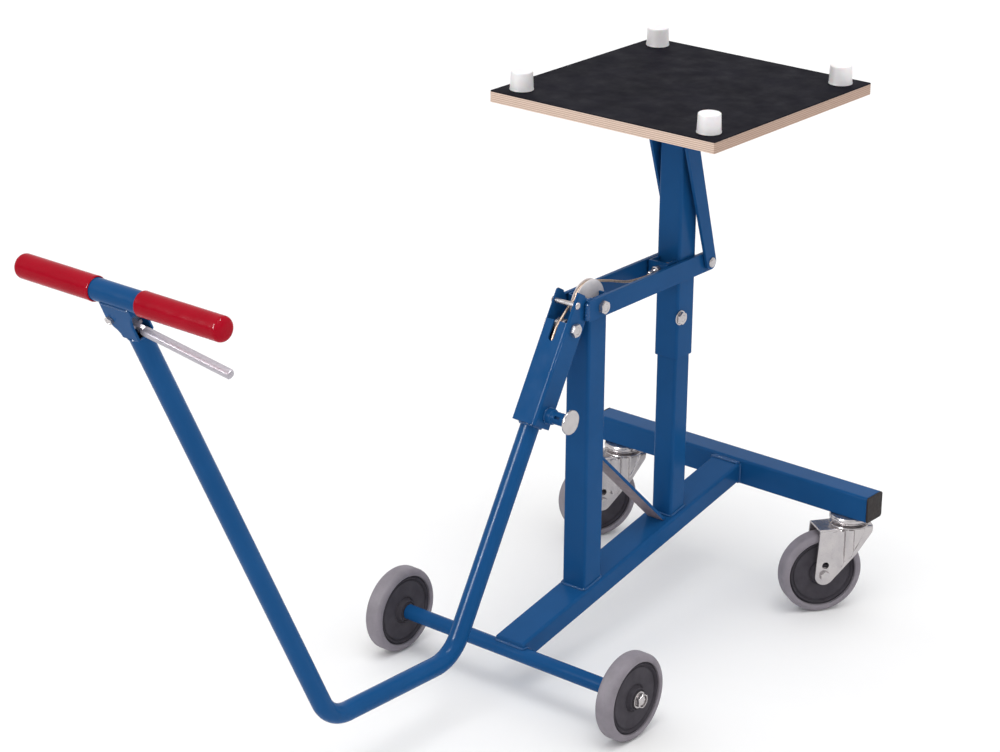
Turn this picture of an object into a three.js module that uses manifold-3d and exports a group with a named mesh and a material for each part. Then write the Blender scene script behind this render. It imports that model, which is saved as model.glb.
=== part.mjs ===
// A hand-levered transmission jack on four wheels. Millimetres, +Z up.
// It is drawn in a frame with +X to the right, +Y towards the front crossbar and the origin on the floor
// under the middle of the rear axle. The exported group moves that origin to the middle of the footprint.
import * as THREE from "three";
import { mergeVertices } from "three/addons/utils/BufferGeometryUtils.js";
import Module from "manifold-3d";

const wasm = await Module();
wasm.setup();

// ---------------------------------------------------------------- driving dimensions

const FOOTPRINT_SHIFT = { x: 9, y: 73 };
const GAP = 0.3; // between pieces that touch
const SIDES = [["left", -1], ["right", 1]];

const WHEEL = { radius: 62.5, tyreInner: 51.8, rimOuter: 51.5, hubRadius: 16, shoulder: 7, segments: 24 };
const REAR = { trackHalf: 206, width: 28, barRadius: 11, barHalf: 189.5, stubRadius: 8, stubHalf: 228 };
const AXLE_NUT = { from: 221.8, washerRadius: 12, washer: 2, acrossFlats: 19, height: 6.2 };
const CROSSBAR = { size: 40, wall: 3, y: 534.35, bottom: 151, half: 248.3, capThickness: 2.7 };
const SPINE = { width: 50, height: 30, wall: 3, slope: 0.2, midAtAxle: 66.9, rearEnd: -3, endPlate: 3 };
const POST = { size: 40, wall: 3, y: 159, top: 549, slotWidth: 12, slotBottom: 497 };
const PIVOT = { y: 159, z: 535, radius: 6, acrossFlats: 17, head: 6.4 };
const INNER = { size: 35, wall: 3, y: 366, top: 640 };
const LIFT = { size: 40, wall: 2, y: 366, bottom: 400, top: 776.5 };
const GUIDE_SCREW = {
  y: 351.5, z: 463.5, radius: 4, washerRadius: 11, acrossFlats: 17, headFrom: 22, headTo: 26.5,
};
const BRACE = { width: 30, thickness: 7, top: 305.6, footY: 340.3 };
const ARM = { inner: 20.4, thickness: 6, from: 129, farPin: 408, farEnd: 422, halfHeight: 15 };
const LINK = { inner: 28, thickness: 5, lowerEye: 11, upperEye: 15, pinRadius: 5, headRadius: 7.5, head: 3 };
const LUG = { inner: 21, thickness: 5, eyeY: 341.4, eyeZ: 757, back: 7.5, front: 1 };
const BOARD = { size: 380, thickness: 15, bottom: 781.1, film: 1.2, peg: 158.6, pegHeight: 27 };
const CARRIER = { size: 220, thickness: 4 };
const CARRIER_BOTTOM = BOARD.bottom - GAP - CARRIER.thickness;
const SOCKET = {
  y: 33, z: 385.4, lean: 29.7, size: 40, wall: 3, from: 8, to: 197, webTop: 153, slotBottom: 124,
};
const CROSS_PIN = { y: -13, z: 180, radius: 3.5, headRadius: 5.2, reach: 23 };
const SOCKET_BOLT = { y: -2, z: 148, radius: 6, acrossFlats: 17, head: 6.4 };
const PLUNGER = { y: 5, z: 27, radius: 4, from: 12, knobRadius: 17.5, knobFrom: 56, knobTo: 60 };
const SLEEVE = { from: 20.3, collarRadius: 11, collarTo: 30, radius: 9, to: 52, windowWidth: 4 };
const DRAWBAR = {
  radius: 13.5, wall: 2.5, bend: 57, heel: [-371.7, 108.5], elbow: [-129.2, 101], topInSocket: 14,
};
const HANDLE = { y: -702, z: 781, half: 160, tubeTop: 56 };
const GRIP = { radius: 15.5, end: 166, inner: { left: 39, right: 35 } };
const HAND_LEVER = {
  pivotX: -20, pivotS: 29.5, startX: 9, startS: 48, endX: 137, endS: 77.5, height: 10, width: 11,
};
const CASTER = {
  x: 208.8, y: 534.35, trail: 43.3, width: 30, legInner: 18.5, legOuter: 21.5, crown: 133, plate: 3,
};
const CASTER_TURN = { left: -0.49, right: -0.61 }; // radians about +Z
const SHEAVE = { radius: 34, grooveRadius: 28, grooveHalf: 1.9, half: 4 };
const CABLE = { radius: 2, sides: 8, ringRadius: 31 };
const LOCK = { z: 538.7, radius: 5 };

const ROOM = 0.3; // radial room round a pin that turns
const FRAME_ANGLE = Math.atan(SPINE.slope);
const SPLIT_ANGLE = 95; // degrees round the sheave, where the cable's two stretches meet
const LEAVE_ANGLE = 72; // where the cable leaves the sheave towards the lock

// ---------------------------------------------------------------- finishes

const FINISHES = {
  paint: { color: 0x23649b, roughness: 0.35, metalness: 0.1 },
  zinc: { color: 0xbebeb9, roughness: 0.35, metalness: 0.9 },
  tyre: { color: 0x827d84, roughness: 0.8, metalness: 0 },
  rim: { color: 0x464446, roughness: 0.6, metalness: 0 },
  blackPlastic: { color: 0x262223, roughness: 0.55, metalness: 0 },
  grip: { color: 0xaf1928, roughness: 0.3, metalness: 0 },
  film: { color: 0x1a1a20, roughness: 0.6, metalness: 0 },
  plywood: { color: 0xc8aa96, roughness: 0.7, metalness: 0 },
  peg: { color: 0xf5f0f2, roughness: 0.5, metalness: 0 },
  cable: { color: 0x9a8376, roughness: 0.5, metalness: 0.7 },
  alloy: { color: 0xd7d2da, roughness: 0.4, metalness: 0.7 },
};

// ---------------------------------------------------------------- solids and booleans

function toSolid(geometry) {
  const bare = geometry.clone();
  bare.deleteAttribute("normal");
  bare.deleteAttribute("uv");
  const merged = mergeVertices(bare, 1e-4);
  const vertProperties = new Float32Array(merged.attributes.position.array);
  const triVerts = new Uint32Array(merged.index.array);
  return new wasm.Manifold(new wasm.Mesh({ numProp: 3, vertProperties, triVerts }));
}

function toGeometry(solid) {
  const mesh = solid.getMesh();
  const indexed = new THREE.BufferGeometry();
  indexed.setAttribute("position", new THREE.BufferAttribute(mesh.vertProperties, 3));
  indexed.setIndex(new THREE.BufferAttribute(mesh.triVerts, 1));
  const faceted = indexed.toNonIndexed();
  faceted.computeVertexNormals();
  return faceted;
}

function join(...pieces) {
  return toGeometry(pieces.map(toSolid).reduce((a, b) => a.add(b)));
}

function cut(body, ...tools) {
  return toGeometry(tools.map(toSolid).reduce((a, b) => a.subtract(b), toSolid(body)));
}

function keep(body, region) {
  return toGeometry(toSolid(body).intersect(toSolid(region)));
}

// ---------------------------------------------------------------- basic shapes

const X = new THREE.Vector3(1, 0, 0);
const Y = new THREE.Vector3(0, 1, 0);
const Z = new THREE.Vector3(0, 0, 1);
// Where an outline's two coordinates and its thickness point, for a slab along each axis.
const SLAB_BASIS = { x: [Y, Z, X], y: [Z, X, Y], z: [X, Y, Z] };

function block([x0, x1], [y0, y1], [z0, z1]) {
  const box = new THREE.BoxGeometry(x1 - x0, y1 - y0, z1 - z0);
  return box.translate((x0 + x1) / 2, (y0 + y1) / 2, (z0 + z1) / 2);
}

// Turns a shape that is round about Y to lie along an axis, and moves it to the two other coordinates.
function lay(round, axis, [a, b]) {
  if (axis === "x") return round.rotateZ(-Math.PI / 2).translate(0, a, b);
  if (axis === "z") return round.rotateX(Math.PI / 2).translate(a, b, 0);
  return round.translate(a, 0, b);
}

function rod(axis, radius, from, to, place = [0, 0], sides = 14) {
  const bar = new THREE.CylinderGeometry(radius, radius, to - from, sides);
  return lay(bar.translate(0, (from + to) / 2, 0), axis, place);
}

function hex(axis, acrossFlats, from, to, place = [0, 0]) {
  return rod(axis, acrossFlats / 2 / Math.cos(Math.PI / 6), from, to, place, 6);
}

// A turned piece: its profile is a list of [radius, station along the axis], outside upwards.
function turned(axis, profile, place = [0, 0], segments = 18) {
  const points = profile.map(([r, h]) => new THREE.Vector2(r, h));
  return lay(new THREE.LatheGeometry(points, segments), axis, place);
}

// A flat piece of any outline: [y, z] points along x, [x, z] points along y, [x, y] points along z.
function slab(axis, outline, from, to) {
  const ordered = axis === "y" ? outline.map(([x, z]) => [z, x]) : outline;
  const shape = new THREE.Shape(ordered.map(([u, v]) => new THREE.Vector2(u, v)));
  const flat = new THREE.ExtrudeGeometry(shape, { depth: to - from, bevelEnabled: false });
  return flat.translate(0, 0, from).applyMatrix4(new THREE.Matrix4().makeBasis(...SLAB_BASIS[axis]));
}

function arc([u, v], radius, fromDegrees, toDegrees, steps) {
  return Array.from({ length: steps + 1 }, (_, i) => {
    const angle = THREE.MathUtils.degToRad(fromDegrees + ((toDegrees - fromDegrees) * i) / steps);
    return [u + radius * Math.cos(angle), v + radius * Math.sin(angle)];
  });
}

function sweep([p0, p1, p2], steps) {
  const [a, b, c] = [p0, p1, p2].map(([u, v]) => new THREE.Vector2(u, v));
  return new THREE.QuadraticBezierCurve(a, b, c).getPoints(steps).map((p) => [p.x, p.y]);
}

function roundedRectangle(width, height, radius, [u, v] = [0, 0]) {
  const [w, h] = [width / 2 - radius, height / 2 - radius];
  const corners = [[w, h, 0], [-w, h, 90], [-w, -h, 180], [w, -h, 270]];
  return corners.flatMap(([a, b, start]) => arc([u + a, v + b], radius, start, start + 90, 2));
}

// A rectangular tube along an axis; its centre line is at the two other coordinates.
function boxTube(axis, { width, height, wall, corner }, from, to, place = [0, 0]) {
  const outer = slab(axis, roundedRectangle(width, height, corner, place), from, to);
  const hollow = roundedRectangle(width - 2 * wall, height - 2 * wall, Math.max(corner - wall, 1), place);
  return cut(outer, slab(axis, hollow, from - 1, to + 1));
}

function squareTube(axis, size, wall, from, to, place) {
  return boxTube(axis, { width: size, height: size, wall, corner: 4 }, from, to, place);
}

// The two stations of a span that lies between two distances on one side of the middle.
function spanOn(side, near, far) {
  return side > 0 ? [near, far] : [-far, -near];
}

// A bolt along X with a hexagon at both ends; its shank stands a little proud of them.
function hexBolt(radius, acrossFlats, reach, headHeight) {
  const shank = rod("x", radius, -reach - headHeight, reach + headHeight);
  const headTo = reach + headHeight - 0.5;
  const heads = SIDES.map(([, side]) => hex("x", acrossFlats, ...spanOn(side, reach, headTo)));
  return join(shank, ...heads);
}

// A pin along X with a round head at both ends.
function headedPin(radius, headRadius, reach, headHeight) {
  const heads = SIDES.map(([, side]) => rod("x", headRadius, ...spanOn(side, reach, reach + headHeight)));
  return join(rod("x", radius, -reach - headHeight, reach + headHeight), ...heads);
}

// ---------------------------------------------------------------- bars and cables along a line

// Steps from station to station, so a straight run takes no more faces than its two ends.
class StationCurve extends THREE.Curve {
  constructor(stations) {
    super();
    this.stations = stations;
  }
  at(u) {
    return this.stations[Math.round(u * (this.stations.length - 1))];
  }
  getPointAt(u, target = new THREE.Vector3()) {
    return target.copy(this.at(u).point);
  }
  getTangentAt(u, target = new THREE.Vector3()) {
    return target.copy(this.at(u).direction);
  }
}

function onPlane([y, z]) {
  return new THREE.Vector3(0, y, z);
}

function bendStations(before, after, corner, radius, steps) {
  const turn = before.angleTo(after);
  const axis = before.clone().cross(after).normalize();
  const start = corner.clone().addScaledVector(before, -radius * Math.tan(turn / 2));
  const centre = start.clone().addScaledVector(axis.clone().cross(before), radius);
  return Array.from({ length: steps + 1 }, (_, i) => {
    const direction = before.clone().applyAxisAngle(axis, (turn * i) / steps);
    const point = centre.clone().addScaledVector(axis.clone().cross(direction), -radius);
    return { point, direction };
  });
}

function bentLine(corners, radius, steps = 6) {
  const runs = corners.slice(1).map((c, i) => c.clone().sub(corners[i]).normalize());
  const bends = runs.slice(1).map((run, i) => bendStations(runs[i], run, corners[i + 1], radius, steps));
  const first = { point: corners[0], direction: runs[0] };
  const last = { point: corners.at(-1), direction: runs.at(-1) };
  return [first, ...bends.flat(), last];
}

function smoothStations(points, steps) {
  const curve = new THREE.CatmullRomCurve3(points, false, "centripetal");
  return Array.from({ length: steps + 1 }, (_, i) => {
    const t = i / steps;
    return { point: curve.getPoint(t), direction: curve.getTangent(t) };
  });
}

function alongStations(shape, stations) {
  const extrudePath = new StationCurve(stations);
  return new THREE.ExtrudeGeometry(shape, { extrudePath, steps: stations.length - 1, bevelEnabled: false });
}

function ringShape(outer, inner, sides) {
  const vector = ([u, v]) => new THREE.Vector2(u, v);
  const circle = (radius) => arc([0, 0], radius, 0, 360, sides).slice(1).map(vector);
  const shape = new THREE.Shape(circle(outer));
  if (inner) shape.holes.push(new THREE.Path(circle(inner)));
  return shape;
}

// ---------------------------------------------------------------- scene graph

const jack = new THREE.Group();
jack.position.set(FOOTPRINT_SHIFT.x, FOOTPRINT_SHIFT.y, 0);

// Along the socket: z runs up its axis, y towards the lever post.
const socketFrame = new THREE.Group();
socketFrame.position.set(0, SOCKET.y, SOCKET.z);
socketFrame.rotation.x = -THREE.MathUtils.degToRad(SOCKET.lean);

// Along the handle end of the drawbar: z runs up the bar to the cross tube's centre.
const handleLean = Math.atan2(DRAWBAR.heel[0] - HANDLE.y, HANDLE.z - DRAWBAR.heel[1]);
const handleFrame = new THREE.Group();
handleFrame.position.set(0, HANDLE.y, HANDLE.z);
handleFrame.rotation.x = handleLean;
jack.add(socketFrame, handleFrame);

function add(name, geometry, finish, parent = jack) {
  const mesh = new THREE.Mesh(geometry, new THREE.MeshStandardMaterial(FINISHES[finish]));
  mesh.name = name;
  parent.add(mesh);
  return mesh;
}

function socketPoint(y, z) {
  socketFrame.updateMatrix();
  return new THREE.Vector3(0, y, z).applyMatrix4(socketFrame.matrix);
}

function handlePoint(x, z) {
  handleFrame.updateMatrix();
  return new THREE.Vector3(x, 0, z).applyMatrix4(handleFrame.matrix);
}

function spineTop(y) {
  return SPINE.midAtAxle + SPINE.slope * y + SPINE.height / 2 / Math.cos(FRAME_ANGLE);
}

// Everything below the spine's top face, with the gap that a piece standing on it keeps.
function belowSpineTop() {
  const [y0, y1] = [0, 600];
  const outline = [[y0, spineTop(y0) + GAP], [y0, -50], [y1, -50], [y1, spineTop(y1) + GAP]];
  return slab("x", outline, -60, 60);
}

// ---------------------------------------------------------------- frame

function addSpine() {
  const section = { width: SPINE.width, height: SPINE.height, wall: SPINE.wall, corner: 4 };
  // Along y the outline runs [x, z], so the tube is drawn level and then tilted.
  const tube = boxTube("y", section, -30, 560).rotateX(FRAME_ANGLE).translate(0, 0, SPINE.midAtAxle);
  const front = CROSSBAR.y - CROSSBAR.size / 2 - GAP;
  const inside = SPINE.width / 2 - 1;
  const height = [SPINE.midAtAxle - SPINE.height / 2 + 1, SPINE.midAtAxle + SPINE.height / 2 - 1];
  const endPlate = block([-inside, inside], [SPINE.rearEnd, SPINE.rearEnd + SPINE.endPlate], height);
  const trimmed = keep(join(tube, endPlate), block([-60, 60], [SPINE.rearEnd, front], [-50, 300]));
  const saddle = rod("x", REAR.barRadius + GAP, -60, 60, [0, WHEEL.radius], 32);
  const underAxle = block([-60, 60], [SPINE.rearEnd - 1, REAR.barRadius], [0, WHEEL.radius]);
  add("chassis_spine", cut(trimmed, saddle, underAxle), "paint");
}

function addCrossbar() {
  const { size, wall, y, bottom, half, capThickness } = CROSSBAR;
  const z = bottom + size / 2;
  add("front_crossbar", squareTube("x", size, wall, -half, half, [y, z]), "paint");
  const plugSize = size - 2 * wall - 2 * GAP;
  for (const [name, side] of SIDES) {
    const flange = slab("x", roundedRectangle(size, size, 4, [y, z]), half + GAP, half + GAP + capThickness);
    const plug = slab("x", roundedRectangle(plugSize, plugSize, 2, [y, z]), half - 14, half + 1);
    const cap = join(flange, plug);
    if (side < 0) cap.rotateZ(Math.PI).translate(0, 2 * y, 0);
    add("crossbar_end_cap_" + name, cap, "blackPlastic");
  }
}

function addRearAxle() {
  const { barRadius, barHalf, stubRadius, stubHalf } = REAR;
  const profile = [
    [0, -stubHalf], [stubRadius, -stubHalf], [stubRadius, -barHalf], [barRadius, -barHalf],
    [barRadius, barHalf], [stubRadius, barHalf], [stubRadius, stubHalf], [0, stubHalf],
  ];
  add("rear_axle", turned("x", profile, [0, WHEEL.radius]), "paint");
  const face = AXLE_NUT.from + AXLE_NUT.washer;
  const washer = rod("x", AXLE_NUT.washerRadius, AXLE_NUT.from, face, [0, WHEEL.radius]);
  const nut = hex("x", AXLE_NUT.acrossFlats, face - 0.5, face + AXLE_NUT.height, [0, WHEEL.radius]);
  for (const [name, side] of SIDES) {
    const fastener = cut(join(washer, nut), rod("x", stubRadius + GAP, barHalf, 240, [0, WHEEL.radius]));
    if (side < 0) fastener.rotateZ(Math.PI);
    add("rear_axle_nut_" + name, fastener, "zinc");
  }
}

function addPostAndColumn() {
  const post = squareTube("z", POST.size, POST.wall, 90, POST.top, [0, POST.y]);
  const slot = block([-POST.slotWidth / 2, POST.slotWidth / 2], [130, 190], [POST.slotBottom, POST.top + 10]);
  const bore = rod("x", PIVOT.radius + GAP, -40, 40, [PIVOT.y, PIVOT.z]);
  add("lever_post", cut(post, belowSpineTop(), slot, bore), "paint");
  const column = squareTube("z", INNER.size, INNER.wall, 130, INNER.top, [0, INNER.y]);
  add("inner_column", cut(column, belowSpineTop()), "paint");
}

function addBrace() {
  const wall = POST.y + POST.size / 2 + GAP;
  const foot = spineTop(BRACE.footY) + GAP;
  const heel = BRACE.footY - 6;
  const outline = [
    [wall, BRACE.top], [BRACE.footY, foot + 0.1],
    [heel, spineTop(heel) + GAP + 0.1], [wall, BRACE.top - BRACE.thickness],
  ];
  add("column_brace", slab("x", outline, -BRACE.width / 2, BRACE.width / 2), "paint");
}

function addMainPivot() {
  const bolt = hexBolt(PIVOT.radius, PIVOT.acrossFlats, ARM.inner + ARM.thickness + GAP, PIVOT.head);
  add("main_pivot_bolt", bolt.translate(0, PIVOT.y, PIVOT.z), "zinc");
  const { radius, grooveRadius, grooveHalf, half } = SHEAVE;
  const bore = PIVOT.radius + ROOM;
  const profile = [
    [bore, -half], [radius - 1, -half], [radius, -half + 1], [grooveRadius, -grooveHalf],
    [grooveRadius, grooveHalf], [radius, half - 1], [radius - 1, half], [bore, half], [bore, -half],
  ];
  add("cable_sheave", turned("x", profile, [PIVOT.y, PIVOT.z], 28), "zinc");
}

// ---------------------------------------------------------------- wheels

function tyreGeometry(width) {
  const { radius, tyreInner, shoulder, segments } = WHEEL;
  const edge = width / 2;
  const up = arc([radius - shoulder, -edge + shoulder], shoulder, -90, 0, 2);
  const down = arc([radius - shoulder, edge - shoulder], shoulder, 0, 90, 2);
  const bead = edge - 1.5;
  const profile = [[tyreInner, -bead], ...up, ...down, [tyreInner, bead], [tyreInner, -bead]];
  return turned("x", profile, [0, 0], segments);
}

function rimGeometry(bore, hubHalf) {
  const { rimOuter, hubRadius, segments } = WHEEL;
  const side = [[bore, hubHalf], [hubRadius, hubHalf], [hubRadius, 9], [41, 9], [43, 12.3], [rimOuter, 12.3]];
  const lower = side.map(([r, h]) => [r, -h]);
  return turned("x", [...lower, ...side.reverse(), lower[0]], [0, 0], segments);
}

function addRearWheels() {
  for (const [name, side] of SIDES) {
    const wheel = new THREE.Group();
    wheel.position.set(side * REAR.trackHalf, 0, WHEEL.radius);
    jack.add(wheel);
    add("rear_tyre_" + name, tyreGeometry(REAR.width), "tyre", wheel);
    add("rear_rim_" + name, rimGeometry(REAR.stubRadius + ROOM, 15.2), "rim", wheel);
  }
}

// The fork's leg, seen from the side: a rounded foot round the axle and a slanting front edge.
function forkLeg(from) {
  const { trail, crown, plate, legInner, legOuter } = CASTER;
  const foot = arc([-trail, WHEEL.radius], 15, 180, 320, 8);
  const outline = [[-53.3, crown + plate], ...foot, [5.3, 91.7], [28.5, 125], [29.5, crown + plate]];
  const hole = rod("x", 5, from - 1, from + 4, [-42.7, 78.5], 12);
  return cut(slab("x", outline, from, from + legOuter - legInner), hole);
}

function forkGeometry() {
  const { legInner, legOuter, crown, plate, trail } = CASTER;
  const flat = block([-legOuter, legOuter], [-10 - trail, 5], [crown, crown + plate]);
  const disc = rod("z", 29.5, crown, crown + plate, [0, 0], 24);
  const head = rod("z", 23, crown + plate - 1, crown + plate + 3, [0, 0], 20);
  const whole = join(flat, disc, head, forkLeg(legInner), forkLeg(-legOuter));
  return cut(whole, rod("x", 5 + GAP, -30, 30, [-trail, WHEEL.radius]));
}

function addCasters() {
  for (const [name, side] of SIDES) {
    const swivel = new THREE.Group();
    swivel.position.set(side * CASTER.x, CASTER.y, 0);
    swivel.rotation.z = CASTER_TURN[name];
    jack.add(swivel);
    const top = CROSSBAR.bottom - GAP;
    const race = [[0, 139.3], [25, 139.3], [28.5, 141], [30, 144], [30, top], [0, top]];
    add("caster_mount_" + name, turned("z", race, [0, 0], 24), "zinc", swivel);
    add("caster_fork_" + name, forkGeometry(), "zinc", swivel);
    const bolt = hexBolt(5, 14, CASTER.legOuter + GAP, 5).translate(0, -CASTER.trail, WHEEL.radius);
    add("caster_axle_bolt_" + name, bolt, "zinc", swivel);
    const wheel = new THREE.Group();
    wheel.position.set(0, -CASTER.trail, WHEEL.radius);
    swivel.add(wheel);
    add("caster_tyre_" + name, tyreGeometry(CASTER.width), "tyre", wheel);
    add("caster_rim_" + name, rimGeometry(5 + ROOM, 17.5), "rim", wheel);
  }
}

// ---------------------------------------------------------------- lifting column and platform

function addLiftColumn() {
  const tube = squareTube("z", LIFT.size, LIFT.wall, LIFT.bottom, LIFT.top, [0, LIFT.y]);
  const boltHole = rod("y", LOCK.radius + ROOM, 340, 352, [0, LOCK.z]);
  const { radius, washerRadius, acrossFlats, headFrom, headTo } = GUIDE_SCREW;
  const place = [GUIDE_SCREW.y, GUIDE_SCREW.z];
  const screwHole = rod("x", radius + GAP, 10, 25, place);
  add("lift_column", cut(tube, boltHole, screwHole), "paint");
  const shank = rod("x", radius, LIFT.size / 2 - LIFT.wall + 0.2, headTo, place);
  const washer = rod("x", washerRadius, LIFT.size / 2 + GAP, headFrom, place);
  const head = hex("x", acrossFlats, headFrom - 0.3, headTo, place);
  add("column_guide_screw", join(shank, washer, head), "zinc");
}

function lugGeometry(from) {
  const { eyeY, eyeZ, back, front, thickness } = LUG;
  const outline = [
    [318, CARRIER_BOTTOM + 1], [321, 750], ...arc([328, 751], 7, 180, 270, 3),
    ...arc([348, 751], 7, 270, 360, 3), [358, CARRIER_BOTTOM + 1],
  ];
  const room = LINK.pinRadius + ROOM + 0.5;
  const [frontEnd, backEnd] = [[eyeY + front, eyeZ], [eyeY - back, eyeZ]];
  const slot = [...arc(frontEnd, room, -90, 90, 6), ...arc(backEnd, room, 90, 270, 6)];
  return cut(slab("x", outline, from, from + thickness), slab("x", slot, from - 1, from + thickness + 1));
}

function addPlatform() {
  const half = CARRIER.size / 2;
  const span = [LIFT.y - half, LIFT.y + half];
  const plate = block([-half, half], span, [CARRIER_BOTTOM, CARRIER_BOTTOM + CARRIER.thickness]);
  const lugs = [LUG.inner, -LUG.inner - LUG.thickness].map(lugGeometry);
  add("platform_carrier", join(plate, ...lugs), "paint");
  const top = BOARD.bottom + BOARD.thickness;
  const square = roundedRectangle(BOARD.size, BOARD.size, 2, [0, LIFT.y]);
  add("platform_board", slab("z", square, BOARD.bottom, top), "plywood");
  add("platform_mat", slab("z", square, top + GAP, top + GAP + BOARD.film), "film");
  const pegBase = top + 2 * GAP + BOARD.film;
  const corners = [[-1, -1], [1, -1], [1, 1], [-1, 1]];
  corners.forEach(([sx, sy], i) => {
    const place = [sx * BOARD.peg, LIFT.y + sy * BOARD.peg];
    const high = pegBase + BOARD.pegHeight;
    const profile = [[0, pegBase], [17, pegBase], [15.6, high - 2], [13.8, high], [0, high]];
    add("platform_peg_" + (i + 1), turned("z", profile, place), "peg");
  });
}

// A U-shaped housing on the lift column's rear face, and the bolt that slides through it.
function addLock() {
  const face = LIFT.y - LIFT.size / 2 - GAP;
  const shell = block([-17, 17], [322, face], [518, 551]);
  const inside = block([-14, 14], [325, face + 1], [510, 560]);
  const bore = rod("y", LOCK.radius + ROOM, 310, 330, [0, LOCK.z]);
  add("lock_housing", cut(shell, inside, bore), "paint");
  const pin = rod("y", LOCK.radius, 316, 348.2, [0, LOCK.z]);
  const head = rod("y", 7, 314, 321.5, [0, LOCK.z]);
  const collar = rod("y", 8, 330.5, 334.5, [0, LOCK.z]);
  add("lock_bolt", join(pin, head, collar), "zinc");
}

// ---------------------------------------------------------------- lever arms and links

function addArms() {
  const { inner, thickness, from, farPin, farEnd, halfHeight } = ARM;
  const [low, high] = [PIVOT.z - halfHeight, PIVOT.z + halfHeight];
  const corner = 9;
  const outline = [
    [from, low], ...arc([farEnd - corner, low + corner], corner, 270, 360, 3),
    ...arc([farEnd - corner, high - corner], corner, 0, 90, 3), [from, high],
  ];
  for (const [name, side] of SIDES) {
    const start = side > 0 ? inner : -inner - thickness;
    const bar = slab("x", outline, start, start + thickness);
    const pivotHole = rod("x", PIVOT.radius + ROOM, -40, 40, [PIVOT.y, PIVOT.z]);
    const pinHole = rod("x", LINK.pinRadius + GAP, -40, 40, [farPin, PIVOT.z]);
    add("lever_arm_" + name, cut(bar, pivotHole, pinHole), "paint");
  }
}

// A flat link that widens from its lower eye to its upper eye.
function linkGeometry(from) {
  const low = new THREE.Vector2(ARM.farPin, PIVOT.z);
  const high = new THREE.Vector2(LUG.eyeY, LUG.eyeZ);
  const lean = THREE.MathUtils.radToDeg(high.clone().sub(low).angle());
  const outline = [
    ...arc([low.x, low.y], LINK.lowerEye, lean + 90, lean + 270, 10),
    ...arc([high.x, high.y], LINK.upperEye, lean - 90, lean + 90, 10),
  ];
  const bar = slab("x", outline, from, from + LINK.thickness);
  const lowerHole = rod("x", LINK.pinRadius + ROOM, -40, 40, [low.x, low.y]);
  const upperHole = rod("x", LINK.pinRadius + GAP, -40, 40, [high.x, high.y]);
  return cut(bar, lowerHole, upperHole);
}

function addLinks() {
  const outer = LINK.inner + LINK.thickness;
  for (const [name, side] of SIDES) {
    add("link_" + name, linkGeometry(side > 0 ? LINK.inner : -outer), "paint");
    const pin = rod("x", LINK.pinRadius, LUG.inner - 0.2, outer + 2);
    const head = rod("x", LINK.headRadius, outer + GAP, outer + GAP + LINK.head);
    const stub = join(pin, head).translate(0, LUG.eyeY, LUG.eyeZ);
    if (side < 0) stub.translate(0, -LUG.eyeY, 0).rotateZ(Math.PI).translate(0, LUG.eyeY, 0);
    add("link_upper_pin_" + name, stub, "zinc");
  }
  const pin = headedPin(LINK.pinRadius, LINK.headRadius, outer + GAP, LINK.head);
  add("link_lower_pin", pin.translate(0, ARM.farPin, PIVOT.z), "zinc");
}

// ---------------------------------------------------------------- lever socket

// What turns about the main pivot keeps clear of the lever post: everything nearer than this is removed.
function postClearance() {
  const outline = [[-34, -75], [-21.8, -2], [-27.5, 14], [-36, 34], [60, 34], [60, -75]];
  return slab("x", outline.map(([y, z]) => [PIVOT.y + y, PIVOT.z + z]), -40, 40);
}

function intoSocketFrame(geometry) {
  socketFrame.updateMatrix();
  return geometry.applyMatrix4(socketFrame.matrix.clone().invert());
}

function addSocket() {
  const { size, wall, from, to, webTop, slotBottom } = SOCKET;
  const half = size / 2;
  const tube = squareTube("z", size, wall, from, to);
  const [inside, floorThickness] = [half - wall + 1, 4];
  const plate = block([-inside, inside], [-inside, inside], [from, from + floorThickness]);
  const floor = cut(plate, rod("z", DRAWBAR.radius + GAP, 0, 20, [0, 0], 28));
  const frontOpening = block([-half + wall, half - wall], [-half - 1, -half + 6], [webTop, to + 1]);
  const cableSlot = join(
    block([-5, 5], [-half - 1, -half + 6], [slotBottom + 5, webTop + 1]),
    rod("y", 5, -half - 1, -half + 6, [0, slotBottom + 5]),
  );
  const frontCorner = cut(
    block([-30, 30], [-half - 1, -half + 9], [to - 9, to + 1]),
    rod("x", 9, -31, 31, [-half + 9, to - 9], 24),
  );
  const sheaveRoom = intoSocketFrame(rod("x", SHEAVE.radius + 1.5, -6, 6, [PIVOT.y, PIVOT.z], 32));
  const crossHole = rod("x", CROSS_PIN.radius + GAP, -30, 30, [CROSS_PIN.y, CROSS_PIN.z]);
  const boltHole = rod("x", SOCKET_BOLT.radius + GAP, -30, 30, [SOCKET_BOLT.y, SOCKET_BOLT.z]);
  const plungerHole = rod("x", PLUNGER.radius + 0.5, 10, 30, [PLUNGER.y, PLUNGER.z]);
  const tools = [frontOpening, cableSlot, frontCorner, intoSocketFrame(postClearance()), sheaveRoom];
  const body = cut(join(tube, floor), ...tools, crossHole, boltHole, plungerHole);
  add("lever_socket", body, "paint", socketFrame);
}

function addSocketFittings() {
  const face = SOCKET.size / 2 + GAP;
  const pin = headedPin(CROSS_PIN.radius, CROSS_PIN.headRadius, face, CROSS_PIN.reach - face);
  add("lever_cross_pin", pin.translate(0, CROSS_PIN.y, CROSS_PIN.z), "zinc", socketFrame);
  const { y, z, radius, acrossFlats, head } = SOCKET_BOLT;
  add("socket_bolt", hexBolt(radius, acrossFlats, face, head).translate(0, y, z), "zinc", socketFrame);
  const bore = radius + ROOM;
  const side = [[bore, 8], [12, 8], [12, 4], [9.5, 2]];
  const roller = [...side.map(([r, x]) => [r, -x]), ...[...side].reverse(), [bore, -8]];
  add("cable_guide_roller", turned("x", roller, [y, z]), "zinc", socketFrame);
}

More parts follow.
